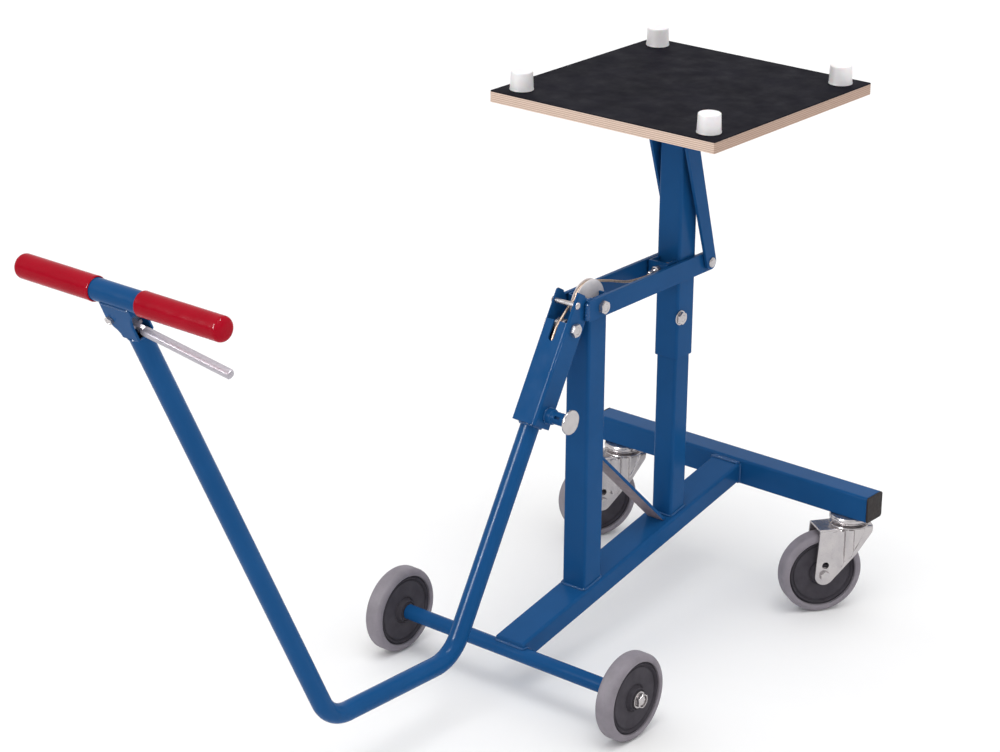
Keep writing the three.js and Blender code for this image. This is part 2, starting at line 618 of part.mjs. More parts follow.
// A spring plunger that a flat round head pulls out of the socket's side.
function addPlunger() {
  const place = [PLUNGER.y, PLUNGER.z];
  const { from, collarRadius, collarTo, radius, to, windowWidth } = SLEEVE;
  const bore = PLUNGER.radius + ROOM;
  const profile = [
    [bore, from], [collarRadius, from], [collarRadius, collarTo], [radius, collarTo],
    [radius, to], [bore, to], [bore, from],
  ];
  const height = [PLUNGER.z - windowWidth / 2, PLUNGER.z + windowWidth / 2];
  const window = block([36, 45], [PLUNGER.y - 11, PLUNGER.y - 5], height);
  add("plunger_sleeve", cut(turned("x", profile, place), window), "paint", socketFrame);
  const pin = rod("x", PLUNGER.radius, PLUNGER.from, PLUNGER.knobTo - 1, place);
  const knob = rod("x", PLUNGER.knobRadius, PLUNGER.knobFrom, PLUNGER.knobTo, place, 32);
  add("index_plunger", join(pin, knob), "zinc", socketFrame);
}

// ---------------------------------------------------------------- drawbar and handle

function drawbarLine(topOfHandleEnd) {
  const foot = socketPoint(0, DRAWBAR.topInSocket);
  return bentLine([topOfHandleEnd, onPlane(DRAWBAR.heel), onPlane(DRAWBAR.elbow), foot], DRAWBAR.bend);
}

function addDrawbar() {
  const section = ringShape(DRAWBAR.radius, DRAWBAR.radius - DRAWBAR.wall, 14);
  const stations = drawbarLine(handlePoint(0, -HANDLE.tubeTop));
  add("drawbar_tube", alongStations(section, stations), "paint");
}

function addHandleTube() {
  const { half } = HANDLE;
  const bore = DRAWBAR.radius - DRAWBAR.wall;
  const ring = [[bore, -half], [DRAWBAR.radius, -half], [DRAWBAR.radius, half], [bore, half], [bore, -half]];
  add("handle_tube", turned("x", ring), "paint", handleFrame);
  for (const [name, side] of SIDES) {
    const inner = GRIP.inner[name];
    const room = DRAWBAR.radius + GAP;
    const roundEnd = arc([GRIP.radius - 6, GRIP.end - 6], 6, 0, 90, 3);
    const profile = [
      [room, inner], [GRIP.radius - 1, inner], [GRIP.radius, inner + 1.5], ...roundEnd,
      [0, GRIP.end], [0, half + GAP], [room, half + GAP], [room, inner],
    ];
    const grip = turned("x", profile);
    if (side < 0) grip.rotateZ(Math.PI);
    add("grip_" + name, grip, "grip", handleFrame);
  }
}

// Two cheeks under the cross tube, saddle-cut at the top and narrowing to the drawbar tube.
function addHandleBracket() {
  const bottom = -HANDLE.tubeTop + GAP;
  const ear = arc([HAND_LEVER.pivotX, -HAND_LEVER.pivotS - 2.5], 8, 180, 250, 4);
  const left = sweep([[-19.5, -43.5], [-14.5, -46], [-13.4, bottom]], 6);
  const right = sweep([[13.4, -36], [14, -22], [22, -14]], 6);
  const outline = [[-27, -5], [-28, -28], ...ear, ...left, [13.4, bottom], ...right, [22, -5]];
  const solid = slab("y", outline, -13.5, 13.5);
  const cavity = block([-40, 40], [-10.5, 10.5], [-80, -19]);
  const saddle = rod("x", DRAWBAR.radius + GAP, -60, 60, [0, 0], 32);
  const boltHole = rod("y", 4 + GAP, -20, 20, [HAND_LEVER.pivotX, -HAND_LEVER.pivotS]);
  add("handle_bracket", cut(solid, cavity, saddle, boltHole), "paint", handleFrame);
  const place = [HAND_LEVER.pivotX, -HAND_LEVER.pivotS];
  const bolt = hexBolt(4, 10, 13.5 + GAP, 4).rotateZ(Math.PI / 2).translate(place[0], 0, place[1]);
  add("hand_lever_bolt", bolt, "zinc", handleFrame);
}

// A pressed channel, open underneath, on a tongue that turns on the bolt inside the bracket.
function addHandLever() {
  const { pivotX, pivotS, startX, startS, endX, endS, height, width } = HAND_LEVER;
  const drop = Math.atan2(endS - startS, endX - startX);
  const length = Math.hypot(endX - startX, endS - startS);
  const half = height / 2;
  const wall = 1.8;
  const round = arc([half, 0], half, 90, 270, 8);
  const bar = slab("y", [...round, [length, -half], [length, half]], -width / 2, width / 2);
  const trough = block([9, length + 1], [-width / 2 + wall, width / 2 - wall], [-half - 1, half - wall]);
  const channel = cut(bar, trough).rotateY(drop).translate(startX, 0, -startS);
  const tongue = slab("y", [
    ...arc([pivotX, -pivotS], 7, 90, 250, 8), [startX + 6, -startS - 5], [startX + 6, -startS + 4],
  ], -3, 3);
  const anchor = rod("y", 3, -8, 8, [3, -42.5]);
  const body = cut(join(channel, tongue, anchor), rod("y", 4 + ROOM, -20, 20, [pivotX, -pivotS]));
  add("hand_lever", body, "alloy", handleFrame);
}

// ---------------------------------------------------------------- release cable

function onSheave(degrees) {
  const [[y, z]] = arc([PIVOT.y, PIVOT.z], CABLE.ringRadius, degrees, degrees, 1);
  return onPlane([y, z]);
}

// From the hand lever through the drawbar, out of the socket's slot, over the guide roller and the sheave.
function addCables() {
  const section = ringShape(CABLE.radius, 0, CABLE.sides);
  const head = [handlePoint(3, -52.5), handlePoint(0.5, -85)];
  const inDrawbar = drawbarLine(head[1]);
  const route = [[0, 14], [-1, 45], [-6, 92], [-14.6, 124], [-15.4, 135], [-14, 148], [-3.5, 176]];
  const upSocket = route.map(([y, z]) => socketPoint(y, z));
  const ontoSheave = [155, 140, 125, 110, SPLIT_ANGLE + 0.6].map(onSheave);
  const lever = [
    { point: head[0], direction: head[1].clone().sub(head[0]).normalize() },
    ...inDrawbar.slice(0, -1),
    ...smoothStations([...upSocket, ...ontoSheave], 32),
  ];
  add("release_cable", alongStations(section, lever), "cable");
  const offSheave = [SPLIT_ANGLE, 88, 80, LEAVE_ANGLE].map(onSheave);
  const toLock = [[210, 553], [252, 540.5], [292, 536.5], [313.6, LOCK.z]].map(onPlane);
  add("release_cable_span", alongStations(section, smoothStations([...offSheave, ...toLock], 18)), "cable");
}

addSpine();
addCrossbar();
addRearAxle();
addPostAndColumn();
addBrace();
addMainPivot();
addRearWheels();
addCasters();
addLiftColumn();
addPlatform();
addLock();
addArms();
addLinks();
addSocket();
addSocketFittings();
addPlunger();
addDrawbar();
addHandleTube();
addHandleBracket();
addHandLever();
addCables();

export default jack;
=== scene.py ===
"""Looks of a hand-levered transmission jack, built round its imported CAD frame.

Shapes are drawn in millimetres in the drawing frame: +X right, +Y to the front crossbar, the origin on the
floor under the middle of the rear axle. DRAWING takes that frame to the row frame, in metres.
"""

import math

import bmesh
import bpy
import numpy as np
from mathutils import Matrix, Vector


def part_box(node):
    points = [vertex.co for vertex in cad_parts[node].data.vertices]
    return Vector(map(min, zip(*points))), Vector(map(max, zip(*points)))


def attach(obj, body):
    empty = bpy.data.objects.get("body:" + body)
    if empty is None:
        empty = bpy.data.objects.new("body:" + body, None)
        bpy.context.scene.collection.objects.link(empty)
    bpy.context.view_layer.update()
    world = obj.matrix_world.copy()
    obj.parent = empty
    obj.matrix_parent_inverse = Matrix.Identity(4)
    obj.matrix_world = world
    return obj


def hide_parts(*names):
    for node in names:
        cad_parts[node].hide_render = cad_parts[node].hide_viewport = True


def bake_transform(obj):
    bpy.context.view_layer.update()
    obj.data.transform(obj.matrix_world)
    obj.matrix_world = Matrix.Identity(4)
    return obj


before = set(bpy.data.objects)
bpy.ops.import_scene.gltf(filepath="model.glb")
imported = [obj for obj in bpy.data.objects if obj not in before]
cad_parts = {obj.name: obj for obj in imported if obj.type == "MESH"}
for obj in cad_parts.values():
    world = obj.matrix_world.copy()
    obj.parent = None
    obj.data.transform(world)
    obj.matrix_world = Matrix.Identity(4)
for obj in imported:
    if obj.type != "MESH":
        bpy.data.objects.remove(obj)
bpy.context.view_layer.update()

MM = 0.001
GAP = 0.3  # clearance round a piece that moves or is fitted
PAINT, ZINC = "blue_powder_coat", "zinc_plate"
SIDES = (("left", -1), ("right", 1))
rng = np.random.default_rng(11)

# ---------------------------------------------------------------- frames and places


def middle(node):
    low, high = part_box(node)
    return (low + high) / 2


AXLE = middle("rear_axle")
DRAWING = Matrix.Translation((AXLE.x, AXLE.y, 0)) @ Matrix.Scale(MM, 4)
FROM_ROW = DRAWING.inverted()


def span(node):
    """The node's box in the drawing frame: ((x0, x1), (y0, y1), (z0, z1))."""
    low, high = (FROM_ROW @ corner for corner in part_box(node))
    return tuple(zip(low, high))


def middle_of(node):
    """The middle of the node's box in the drawing frame."""
    return [(a + b) / 2 for a, b in span(node)]


def basis(u, v, w):
    return Matrix((u, v, w)).transposed().to_4x4()


def moved(x, y, z):
    return Matrix.Translation((x, y, z))


def turned(degrees, axis):
    return Matrix.Rotation(math.radians(degrees), 4, axis)


# What a flat outline's two coordinates and its thickness stand for.
YZ_X = basis((0, 1, 0), (0, 0, 1), (1, 0, 0))
XZ_Y = basis((1, 0, 0), (0, 0, 1), (0, 1, 0))
ALONG_X = YZ_X
ALONG_Y = XZ_Y

PIVOT = middle_of("cable_sheave")

# ---------------------------------------------------------------- outlines


def arc(centre, radius, start, end, steps):
    angles = np.radians(np.linspace(start, end, steps + 1))
    return [(centre[0] + radius * math.cos(a), centre[1] + radius * math.sin(a)) for a in angles]


def rounded_rectangle(width, height, radius, centre=(0, 0), steps=6):
    half_w, half_h = width / 2 - radius, height / 2 - radius
    corners = ((half_w, half_h, 0), (-half_w, half_h, 90), (-half_w, -half_h, 180), (half_w, -half_h, 270))
    loop = []
    for u, v, start in corners:
        loop += arc((centre[0] + u, centre[1] + v), radius, start, start + 90, steps)
    return loop


def bezier(p0, p1, p2, steps):
    def at(t):
        return tuple((1 - t) ** 2 * a + 2 * t * (1 - t) * b + t * t * c for a, b, c in zip(p0, p1, p2))

    return [at(t) for t in np.linspace(0, 1, steps + 1)]


def inset(outline, distance):
    """The outline moved inwards by distance, corner by corner."""
    pts = np.array(outline, float)
    area = 0.5 * np.sum(pts[:, 0] * np.roll(pts[:, 1], -1) - np.roll(pts[:, 0], -1) * pts[:, 1])
    before = pts - np.roll(pts, 1, 0)
    after = np.roll(before, -1, 0)
    normals = []
    for edge in (before, after):
        length = np.maximum(np.linalg.norm(edge, axis=1, keepdims=True), 1e-9)
        normals.append(np.stack([-edge[:, 1], edge[:, 0]], 1) / length * math.copysign(1, area))
    mitre = normals[0] + normals[1]
    mitre /= np.maximum(np.sum(mitre * mitre, 1, keepdims=True) / 2, 0.6)
    return pts + mitre * distance


# ---------------------------------------------------------------- solids as (vertices, faces)


def loft(loops, ring=False):
    """Joins loops of equal length with faces; a ring's last loop meets its first, other lofts are capped."""
    n = len(loops[0])
    vertices = np.concatenate([np.asarray(loop, float) for loop in loops])
    pairs = [(i, i + 1) for i in range(len(loops) - 1)]
    if ring:
        pairs.append((len(loops) - 1, 0))
    faces = []
    for a, b in pairs:
        for i in range(n):
            j = (i + 1) % n
            faces.append((a * n + i, a * n + j, b * n + j, b * n + i))
    if not ring:
        faces.append(tuple(range(n))[::-1])
        faces.append(tuple(range((len(loops) - 1) * n, len(loops) * n)))
    return vertices, faces


def placed(solid, matrix):
    vertices, faces = solid
    turn = np.array(matrix.to_3x3())
    shift = np.array(matrix.to_translation())
    return vertices @ turn.T + shift, faces


def merged(*solids):
    vertices, faces, offset = [], [], 0
    for v, f in solids:
        vertices.append(v)
        faces += [tuple(i + offset for i in face) for face in f]
        offset += len(v)
    return np.concatenate(vertices), faces


def circle(radius, height, count):
    angles = np.linspace(0, 2 * math.pi, count, endpoint=False)
    return np.stack([radius * np.cos(angles), radius * np.sin(angles), np.full(count, height)], 1)


def lathe(profile, count=64, ring=False):
    """A turned solid about its z axis; the profile is a list of (radius, height)."""
    return loft([circle(r, h, count) for r, h in profile], ring)


def rod(radius, start, end, chamfer=0.6, count=40):
    low, high = min(start, end), max(start, end)
    tip = radius - chamfer
    return lathe([(tip, low), (radius, low + chamfer), (radius, high - chamfer), (tip, high)], count)


def mirrored(half):
    """A turned profile with its mirror image."""
    return half + [(r, -h) for r, h in half[::-1]]


def drill(radius, low, high, y, z, count=40):
    """A cutter along x, from low to high, at (y, z)."""
    return placed(lathe([(radius, low), (radius, high)], count), moved(0, y, z) @ ALONG_X)


def hexagon(across, start, end, dimple=0.0, count=72):
    """A hexagon head about z from start to end, chamfered at its outer end, with a shallow dimple there."""
    angles = np.linspace(0, 2 * math.pi, count, endpoint=False)
    flat = across / 2
    reach = flat / np.cos((angles + math.pi / 6) % (math.pi / 3) - math.pi / 6)
    outward = math.copysign(1, end - start)

    def loop(radius, height):
        height = np.broadcast_to(height, count)
        return np.stack([radius * np.cos(angles), radius * np.sin(angles), height], 1)

    circle_radius = flat * 0.95
    loops = [
        loop(reach * 0.985, start),
        loop(reach, start + outward * 0.3),
        loop(reach, end - outward * (reach - circle_radius) * 0.55),
        loop(np.full(count, circle_radius), end),
    ]
    if dimple:
        for share, depth in ((0.62, 0), (0.5, dimple)):
            loops.append(loop(np.full(count, flat * share), end - outward * depth))
    return loft(loops)


def through_bolt(radius, reach, chamfer, across, face, end, dimple):
    """A bolt along z, as far as reach to either side, with a hexagon from face to end on both."""
    heads = [hexagon(across, side * face, side * end, dimple) for _, side in SIDES]
    return merged(rod(radius, -reach, reach, chamfer), *heads)


def domed_pin(radius, start, end, head, head_height):
    """A round pin along z whose end at `end` carries a low domed head."""
    way = math.copysign(1, end - start)
    neck = end - way * head_height
    profile = [(radius - 0.6, start), (radius, start + way * 0.6), (radius, neck), (head - 0.4, neck)]
    dome = [(head * math.cos(a), neck + way * (0.5 + (head_height - 0.5) * math.sin(a)))
            for a in np.radians(np.linspace(0, 74, 7))]
    return lathe(profile + dome, 48)


def rivet(radius, reach, head, head_height):
    """A pin along z with a domed head at both ends, each at reach from 0."""
    return merged(*[domed_pin(radius, a, b, head, head_height) for a, b in ((0, reach), (0.1, -reach))])


def plate(outline, start, end, edge=0.6):
    """A flat piece with softened rims; the outline lies in its own x and y."""
    low, high = min(start, end), max(start, end)
    rim = np.array(outline, float)
    inner = inset(outline, edge * 0.8)

    def level(points, height):
        return np.column_stack([points, np.full(len(points), height)])

    step = edge * 0.3
    mid = inset(outline, edge * 0.25)
    return loft([
        level(inner, low), level(mid, low + step), level(rim, low + edge),
        level(rim, high - edge), level(mid, high - step), level(inner, high),
    ])


def tube(outer, inner, low_end, high_end, edge=0.5):
    """A hollow bar along z. Each end is (height, slope), and rises by slope along the outline's v."""
    rims = (np.array(outer, float), inset(outer, edge * 0.8), np.array(inner, float))

    def level(points, end, raise_by=0.0):
        return np.column_stack([points, end[0] + end[1] * points[:, 1] + raise_by])

    rim, soft, hollow = rims
    return loft([
        level(rim, low_end, edge), level(rim, high_end, -edge), level(soft, high_end),
        level(hollow, high_end), level(hollow, low_end), level(soft, low_end),
    ], ring=True)


def box_tube(width, height, wall, corner, low_end, high_end):
    outer = rounded_rectangle(width, height, corner)
    inner = rounded_rectangle(width - 2 * wall, height - 2 * wall, max(corner - wall, 0.8))
    return tube(outer, inner, low_end, high_end)


def block(x, y, z):
    corners = [(x[0], y[0]), (x[1], y[0]), (x[1], y[1]), (x[0], y[1])]
    return loft([[(a, b, h) for a, b in corners] for h in z])


def along(points, directions, section, twist=0.0, hollow=None):
    """Sweeps a section, a list of (u, v), along points in the plane x = const or near it."""
    loops, inside = [], []
    travelled = 0.0
    for i, (point, direction) in enumerate(zip(points, directions)):
        if i:
            travelled += (Vector(point) - Vector(points[i - 1])).length
        forward = Vector(direction).normalized()
        side = Vector((1, 0, 0))
        side = (side - forward * side.dot(forward)).normalized()
        up = forward.cross(side)
        angle = twist * travelled
        c, s = math.cos(angle), math.sin(angle)

        def ring(outline):
            return [
                Vector(point) + side * (u * c - v * s) + up * (u * s + v * c) for u, v in outline
            ]

        loops.append(np.array(ring(section)))
        if hollow is not None:
            inside.append(np.array(ring(hollow)))
    if hollow is None:
        return loft(loops)
    return loft(loops + inside[::-1], ring=True)


def disc(radius, count=24):
    return arc((0, 0), radius, 0, 360 - 360 / count, count - 1)


def around(radius, count):
    angles = np.linspace(0, 2 * math.pi, count, endpoint=False)
    return [(radius * math.cos(a), radius * math.sin(a)) for a in angles]


# ---------------------------------------------------------------- lines


def bend(before, after, corner, radius, steps):
    turn = before.angle(after)
    axis = before.cross(after).normalized()
    start = corner - before * radius * math.tan(turn / 2)
    centre = start + axis.cross(before) * radius
    stations = []
    for i in range(steps + 1):
        direction = before.copy()
        direction.rotate(Matrix.Rotation(turn * i / steps, 3, axis))
        stations.append((centre - axis.cross(direction) * radius, direction))
    return stations


def bent_line(corners, radius, steps=20):
    corners = [Vector(c) for c in corners]
    runs = [(b - a).normalized() for a, b in zip(corners, corners[1:])]
    line = [(corners[0], runs[0])]
    for before, after, corner in zip(runs, runs[1:], corners[1:]):
        line += bend(before, after, corner, radius, steps)
    return line + [(corners[-1], runs[-1])]


def smooth_line(points, step):
    """A Catmull-Rom line through the points, with a station about every step."""
    pts = [Vector(p) for p in points]
    pts = [pts[0] * 2 - pts[1], *pts, pts[-1] * 2 - pts[-2]]
    places = []
    for a, b, c, d in zip(pts, pts[1:], pts[2:], pts[3:]):
        count = max(2, round((c - b).length / step))
        for k in range(count):
            t = k / count
            places.append(0.5 * (2 * b + (c - a) * t + (2 * a - 5 * b + 4 * c - d) * t**2
                                 + (3 * b - a - 3 * c + d) * t**3))
    places.append(pts[-2])
    ahead = places[1:] + [places[-1] * 2 - places[-2]]
    behind = [places[0] * 2 - places[1]] + places[:-1]
    return [(p, (a - b).normalized()) for p, a, b in zip(places, ahead, behind)]


def bead(points, radius, closed=False, step=1.0, pitch=2.6):
    """A rippled weld bead along a line of points."""
    pts = [Vector(p) for p in points]
    if closed:
        pts.append(pts[0])
    places, carried = [], 0.0
    for a, b in zip(pts, pts[1:]):
        length = (b - a).length
        while carried < length:
            places.append(a.lerp(b, carried / length))
            carried += step
        carried -= length
    if len(places) < 3:
        places = [pts[0].lerp(pts[-1], k / 4) for k in range(5)]
    loops = []
    count = len(places)
    for i, place in enumerate(places):
        ahead = places[(i + 1) % count] if closed or i + 1 < count else place
        behind = places[i - 1] if closed or i else place
        forward = (ahead - behind).normalized()
        across = forward.orthogonal().normalized()
        up = forward.cross(across)
        ripple = 0.84 + 0.16 * abs(math.sin(math.pi * i * step / pitch)) + rng.uniform(-0.04, 0.04)
        if not closed:
            ripple *= min(1.0, 0.45 + 0.25 * min(i, count - 1 - i))
        loops.append([
            place + (across * math.cos(a) + up * math.sin(a)) * radius * ripple
            for a in np.linspace(0, 2 * math.pi, 10, endpoint=False)
        ])
    return loft([np.array(loop) for loop in loops], ring=closed)


# ---------------------------------------------------------------- materials


class Finish:
    """A node material on a Principled shader, with textures in the object's own metres."""

    def __init__(self, name, **constants):
        self.material = bpy.data.materials.new(name)
        self.material.use_nodes = True
        self.tree = self.material.node_tree
        self.shader = self.tree.nodes["Principled BSDF"]
        for socket, value in constants.items():
            self.shader.inputs[socket.replace("_", " ")].default_value = value
        texture = self.node("ShaderNodeTexCoord")
        self.place = texture.outputs["Object"]
        self.surface = texture.outputs["Normal"]

    def node(self, kind, settings=None, **inputs):
        made = self.tree.nodes.new(kind)
        for key, value in (settings or {}).items():
            setattr(made, key, value)
        for name, value in inputs.items():
            socket = made.inputs[int(name[1:]) if name[0] == "i" and name[1:].isdigit() else name]
            if isinstance(value, bpy.types.NodeSocket):
                self.tree.links.new(value, socket)
            else:
                socket.default_value = value
        return made

    def stretched(self, x, y, z):
        mapping = self.node("ShaderNodeMapping", Vector=self.place, Scale=(x, y, z))
        return mapping.outputs["Vector"]

    def noise(self, scale, detail=3.0, roughness=0.55, place=None):
        made = self.node(
            "ShaderNodeTexNoise", Vector=place or self.place, Scale=scale, Detail=detail, Roughness=roughness
        )
        return made.outputs["Fac"]

    def between(self, value, low, high, start=0.3, end=0.7):
        made = self.node("ShaderNodeMapRange", {"clamp": True}, Value=value, i1=start, i2=end, i3=low, i4=high)
        return made.outputs["Result"]

    def mix(self, factor, one, other):
        made = self.node("ShaderNodeMix", {"data_type": "RGBA"}, i0=factor, i6=one, i7=other)
        return made.outputs[2]

    def maths(self, operation, one, other=0.0):
        return self.node("ShaderNodeMath", {"operation": operation}, i0=one, i1=other).outputs[0]

    def colour(self, socket):
        self.tree.links.new(socket, self.shader.inputs["Base Color"])

    def stain(self, patches, most, start, colour):
        """Lays a second colour over the tone where the patches are high."""
        amount = self.between(patches, 0.0, most, start, 0.8)
        self.colour(self.mix(amount, self.tone, srgb(*colour)))

    def roughness(self, socket):
        self.tree.links.new(socket, self.shader.inputs["Roughness"])

    def bump(self, height, distance, strength=1.0, under=None):
        inputs = {"Height": height, "Distance": distance, "Strength": strength}
        if under is not None:
            inputs["Normal"] = under
        made = self.node("ShaderNodeBump", **inputs)
        self.tree.links.new(made.outputs["Normal"], self.shader.inputs["Normal"])
        return made.outputs["Normal"]


def srgb(r, g, b):
    def linear(c):
        c /= 255
        return c / 12.92 if c <= 0.04045 else ((c + 0.055) / 1.055) ** 2.4

    return (linear(r), linear(g), linear(b), 1.0)


def mottled(name, gloss, cloud, dark, light, rough, *bumps, **constants):
    """A finish with a clouded colour, a mottled roughness and fine bumps.

    cloud is (scale, detail), rough (scale, detail, low, high) and each bump (scale, detail, distance, strength).
    """
    made = Finish(name, Specular_IOR_Level=gloss, **constants)
    made.tone = made.mix(made.between(made.noise(*cloud), 0.0, 1.0), srgb(*dark), srgb(*light))
    made.colour(made.tone)
    scale, detail, low, high = rough
    made.roughness(made.between(made.noise(scale, detail), low, high))
    under = None
    for scale, detail, distance, strength in bumps:
        under = made.bump(made.noise(scale, detail), distance, strength, under)
    return made


def powder_coat(name="powder_coat", gloss=0.06):
    return mottled(name, gloss, (9.0,), (20, 74, 125), (25, 80, 133), (60.0, 3.0, 0.15, 0.26),
                   (620.0, 2.0, 0.00005, 0.15)).material


def brace_underside_grey():
    """A brownish-grey for the brace's downward faces."""
    return mottled("brace_underside_grey", 0.2, (40.0, 4.0), (116, 104, 110), (134, 120, 124), (90.0, 3.0, 0.45, 0.6),
                   (700.0, 2.0, 0.0001, 0.4)).material


def zinc_plate(name="zinc_plate", metallic=0.85, lift=0):
    """Bright plating with darker stains; lift lightens its tones, which is painted light where a part sits in
    shade.
    """
    tones = [tuple(c + lift for c in tone) for tone in ((180, 176, 178), (197, 192, 192), (160, 157, 162))]
    made = mottled(name, 0.3, (45.0, 4.0), *tones[:2], (120.0, 4.0, 0.14, 0.26), Metallic=metallic)
    made.stain(made.noise(190.0, 5.0), 0.25, 0.6, tones[2])
    grain = made.bump(made.noise(1.0, 3.0, place=made.stretched(900, 900, 120)), 0.0001, 0.4)
    made.bump(made.noise(260.0), 0.0001, 0.2, grain)
    return made.material


def tyre_rubber():
    made = mottled("tyre_rubber", 0.2, (38.0, 5.0), (125, 120, 127), (141, 135, 143), (90.0, 4.0, 0.5, 0.72),
                   (900.0, 3.0, 0.0002, 0.5))
    made.stain(made.noise(420.0, 4.0), 0.45, 0.6, (110, 105, 112))
    return made.material


def rim_plastic():
    return mottled("rim_plastic", 0.03, (50.0,), (66, 63, 69), (76, 73, 79), (110.0, 4.0, 0.36, 0.55),
                   (1500.0, 2.0, 0.00012, 0.5)).material


def cap_plastic():
    return mottled("cap_plastic", 0.2, (70.0,), (28, 22, 22), (40, 32, 31), (200.0, 4.0, 0.4, 0.6),
                   (1300.0, 2.0, 0.00018, 0.6)).material


def grip_vinyl():
    return mottled("grip_vinyl", 0.06, (22.0,), (160, 9, 31), (170, 13, 36), (75.0, 4.0, 0.12, 0.2),
                   (700.0, 2.0, 0.00015, 0.35), (55.0, 1.0, 0.0008, 0.3)).material


def film_face():
    made = mottled("film_face", 0.012, (14.0, 5.0), (24, 23, 30), (30, 29, 37), (30.0, 5.0, 0.42, 0.62))
    made.stain(made.noise(1.0, 5.0, place=made.stretched(60, 9, 60)), 0.5, 0.55, (38, 37, 45))
    fibres = made.bump(made.noise(1.0, 4.0, place=made.stretched(900, 160, 900)), 0.0001, 0.5)
    made.bump(made.noise(1800.0, 2.0), 0.0001, 0.4, fibres)
    return made.material


def birch_plywood(bottom, thickness, plies=11):
    """Plies across the edge, with grain along them; the two edges across the grain are darker."""
    made = Finish("birch_plywood", Specular_IOR_Level=0.3)
    height = made.node("ShaderNodeSeparateXYZ", Vector=made.place).outputs["Z"]
    waver = made.between(made.noise(18.0, 2.0), -0.12, 0.12, 0.3, 0.7)
    level = made.maths("DIVIDE", made.maths("SUBTRACT", height, bottom), thickness / plies)
    level = made.maths("ADD", level, waver)
    wave = made.maths("SINE", made.maths("MULTIPLY", level, math.pi))
    ply = made.between(wave, 0.0, 1.0, -0.25, 0.25)
    grain = made.noise(1.0, 6.0, 0.65, made.stretched(700, 60, 1400))
    light = made.mix(made.between(grain, 0.0, 1.0), srgb(224, 198, 180), srgb(236, 212, 196))
    dark = made.mix(made.between(grain, 0.0, 1.0), srgb(188, 158, 138), srgb(206, 176, 156))
    wood = made.mix(ply, dark, light)
    glue = made.between(made.maths("ABSOLUTE", wave), 0.55, 0.0, 0.0, 0.16)
    layered = made.mix(glue, wood, srgb(148, 116, 96))
    facing = made.node("ShaderNodeSeparateXYZ", Vector=made.surface).outputs["X"]
    end_grain = made.between(made.maths("ABSOLUTE", facing), 0.0, 0.5, 0.5, 0.6)
    made.colour(made.mix(end_grain, layered, srgb(140, 110, 96)))
    made.roughness(made.between(grain, 0.55, 0.8))
    fibre = made.bump(grain, 0.0003, 0.6)
    made.bump(wave, 0.0002, 0.3, fibre)
    return made.material


def peg_nylon():
    made = mottled("peg_nylon", 0.45, (60.0,), (240, 236, 238), (248, 245, 246), (200.0, 4.0, 0.35, 0.5),
                   Subsurface_Weight=0.15, Subsurface_Scale=0.004)
    made.bump(made.noise(1.0, 1.0, place=made.stretched(60, 60, 2600)), 0.0001, 0.4)
    return made.material


def steel_cable():
    return mottled("steel_cable", 0.5, (300.0, 4.0), (146, 124, 108), (188, 170, 154), (800.0, 3.0, 0.35, 0.55),
                   (3000.0, 2.0, 0.0001, 0.5), Metallic=0.6).material


def bare_alloy():
    made = Finish("bare_alloy", Metallic=0.4, Specular_IOR_Level=0.4)
    brushed = made.noise(1.0, 4.0, place=made.stretched(80, 1600, 1600))
    made.colour(made.mix(made.between(brushed, 0.0, 1.0), srgb(166, 161, 169), srgb(188, 184, 191)))
    made.roughness(made.between(brushed, 0.26, 0.42))
    made.bump(brushed, 0.0001, 0.35)
    return made.material


BOARD = span("platform_board")
MATERIALS = {
    "blue_powder_coat": powder_coat(),
    "zinc_plate": zinc_plate(),
    "grey_tyre": tyre_rubber(),
    "dark_rim": rim_plastic(),
    "black_plastic": cap_plastic(),
    "red_grip": grip_vinyl(),
    "dark_film": film_face(),
    "birch_plywood": birch_plywood(BOARD[2][0] * MM, (BOARD[2][1] - BOARD[2][0]) * MM),
    "white_peg": peg_nylon(),
    "steel_cable": steel_cable(),
    "bare_alloy": bare_alloy(),
}

# ---------------------------------------------------------------- objects

SMOOTH_BELOW = math.radians(34)
WELD_PAINT = powder_coat("weld_paint", 0.35)
# Painted light: the sheave's zinc, with its tones lightened by 40 and less metal, so it looks lit where the post
# and arms shade it.
ZINC_WITH_PAINTED_LIGHT = zinc_plate("zinc_with_painted_light", 0.15, 40)


def mesh_object(name, solid, matrix):
    vertices, faces = placed(solid, matrix)
    mesh = bpy.data.meshes.new(name)
    mesh.from_pydata(vertices.tolist(), [], faces)
    shape = bmesh.new()
    shape.from_mesh(mesh)
    bmesh.ops.remove_doubles(shape, verts=shape.verts, dist=1e-7)
    bmesh.ops.recalc_face_normals(shape, faces=shape.faces)
    shape.to_mesh(mesh)
    shape.free()
    made = bpy.data.objects.new(name, mesh)
    bpy.context.scene.collection.objects.link(made)
    return made


def apply_modifiers(obj):
    evaluated = obj.evaluated_get(bpy.context.evaluated_depsgraph_get())
    obj.data = bpy.data.meshes.new_from_object(evaluated)
    obj.modifiers.clear()


def carve(obj, cutters, matrix):
    """Cuts the solids away from obj and keeps the result as its mesh."""
    tools = [mesh_object("cutter", cutter, matrix) for cutter in cutters]
    for tool in tools:
        modifier = obj.modifiers.new("cut", "BOOLEAN")
        modifier.operation = "DIFFERENCE"
        modifier.solver = "EXACT"
        modifier.object = tool
    apply_modifiers(obj)
    for tool in tools:
        bpy.data.objects.remove(tool)


def soften(obj, width):
    modifier = obj.modifiers.new("soften", "BEVEL")
    modifier.width = width * MM
    modifier.segments = 2
    modifier.limit_method = "ANGLE"
    modifier.angle_limit = math.radians(55)
    modifier.miter_outer = "MITER_ARC"


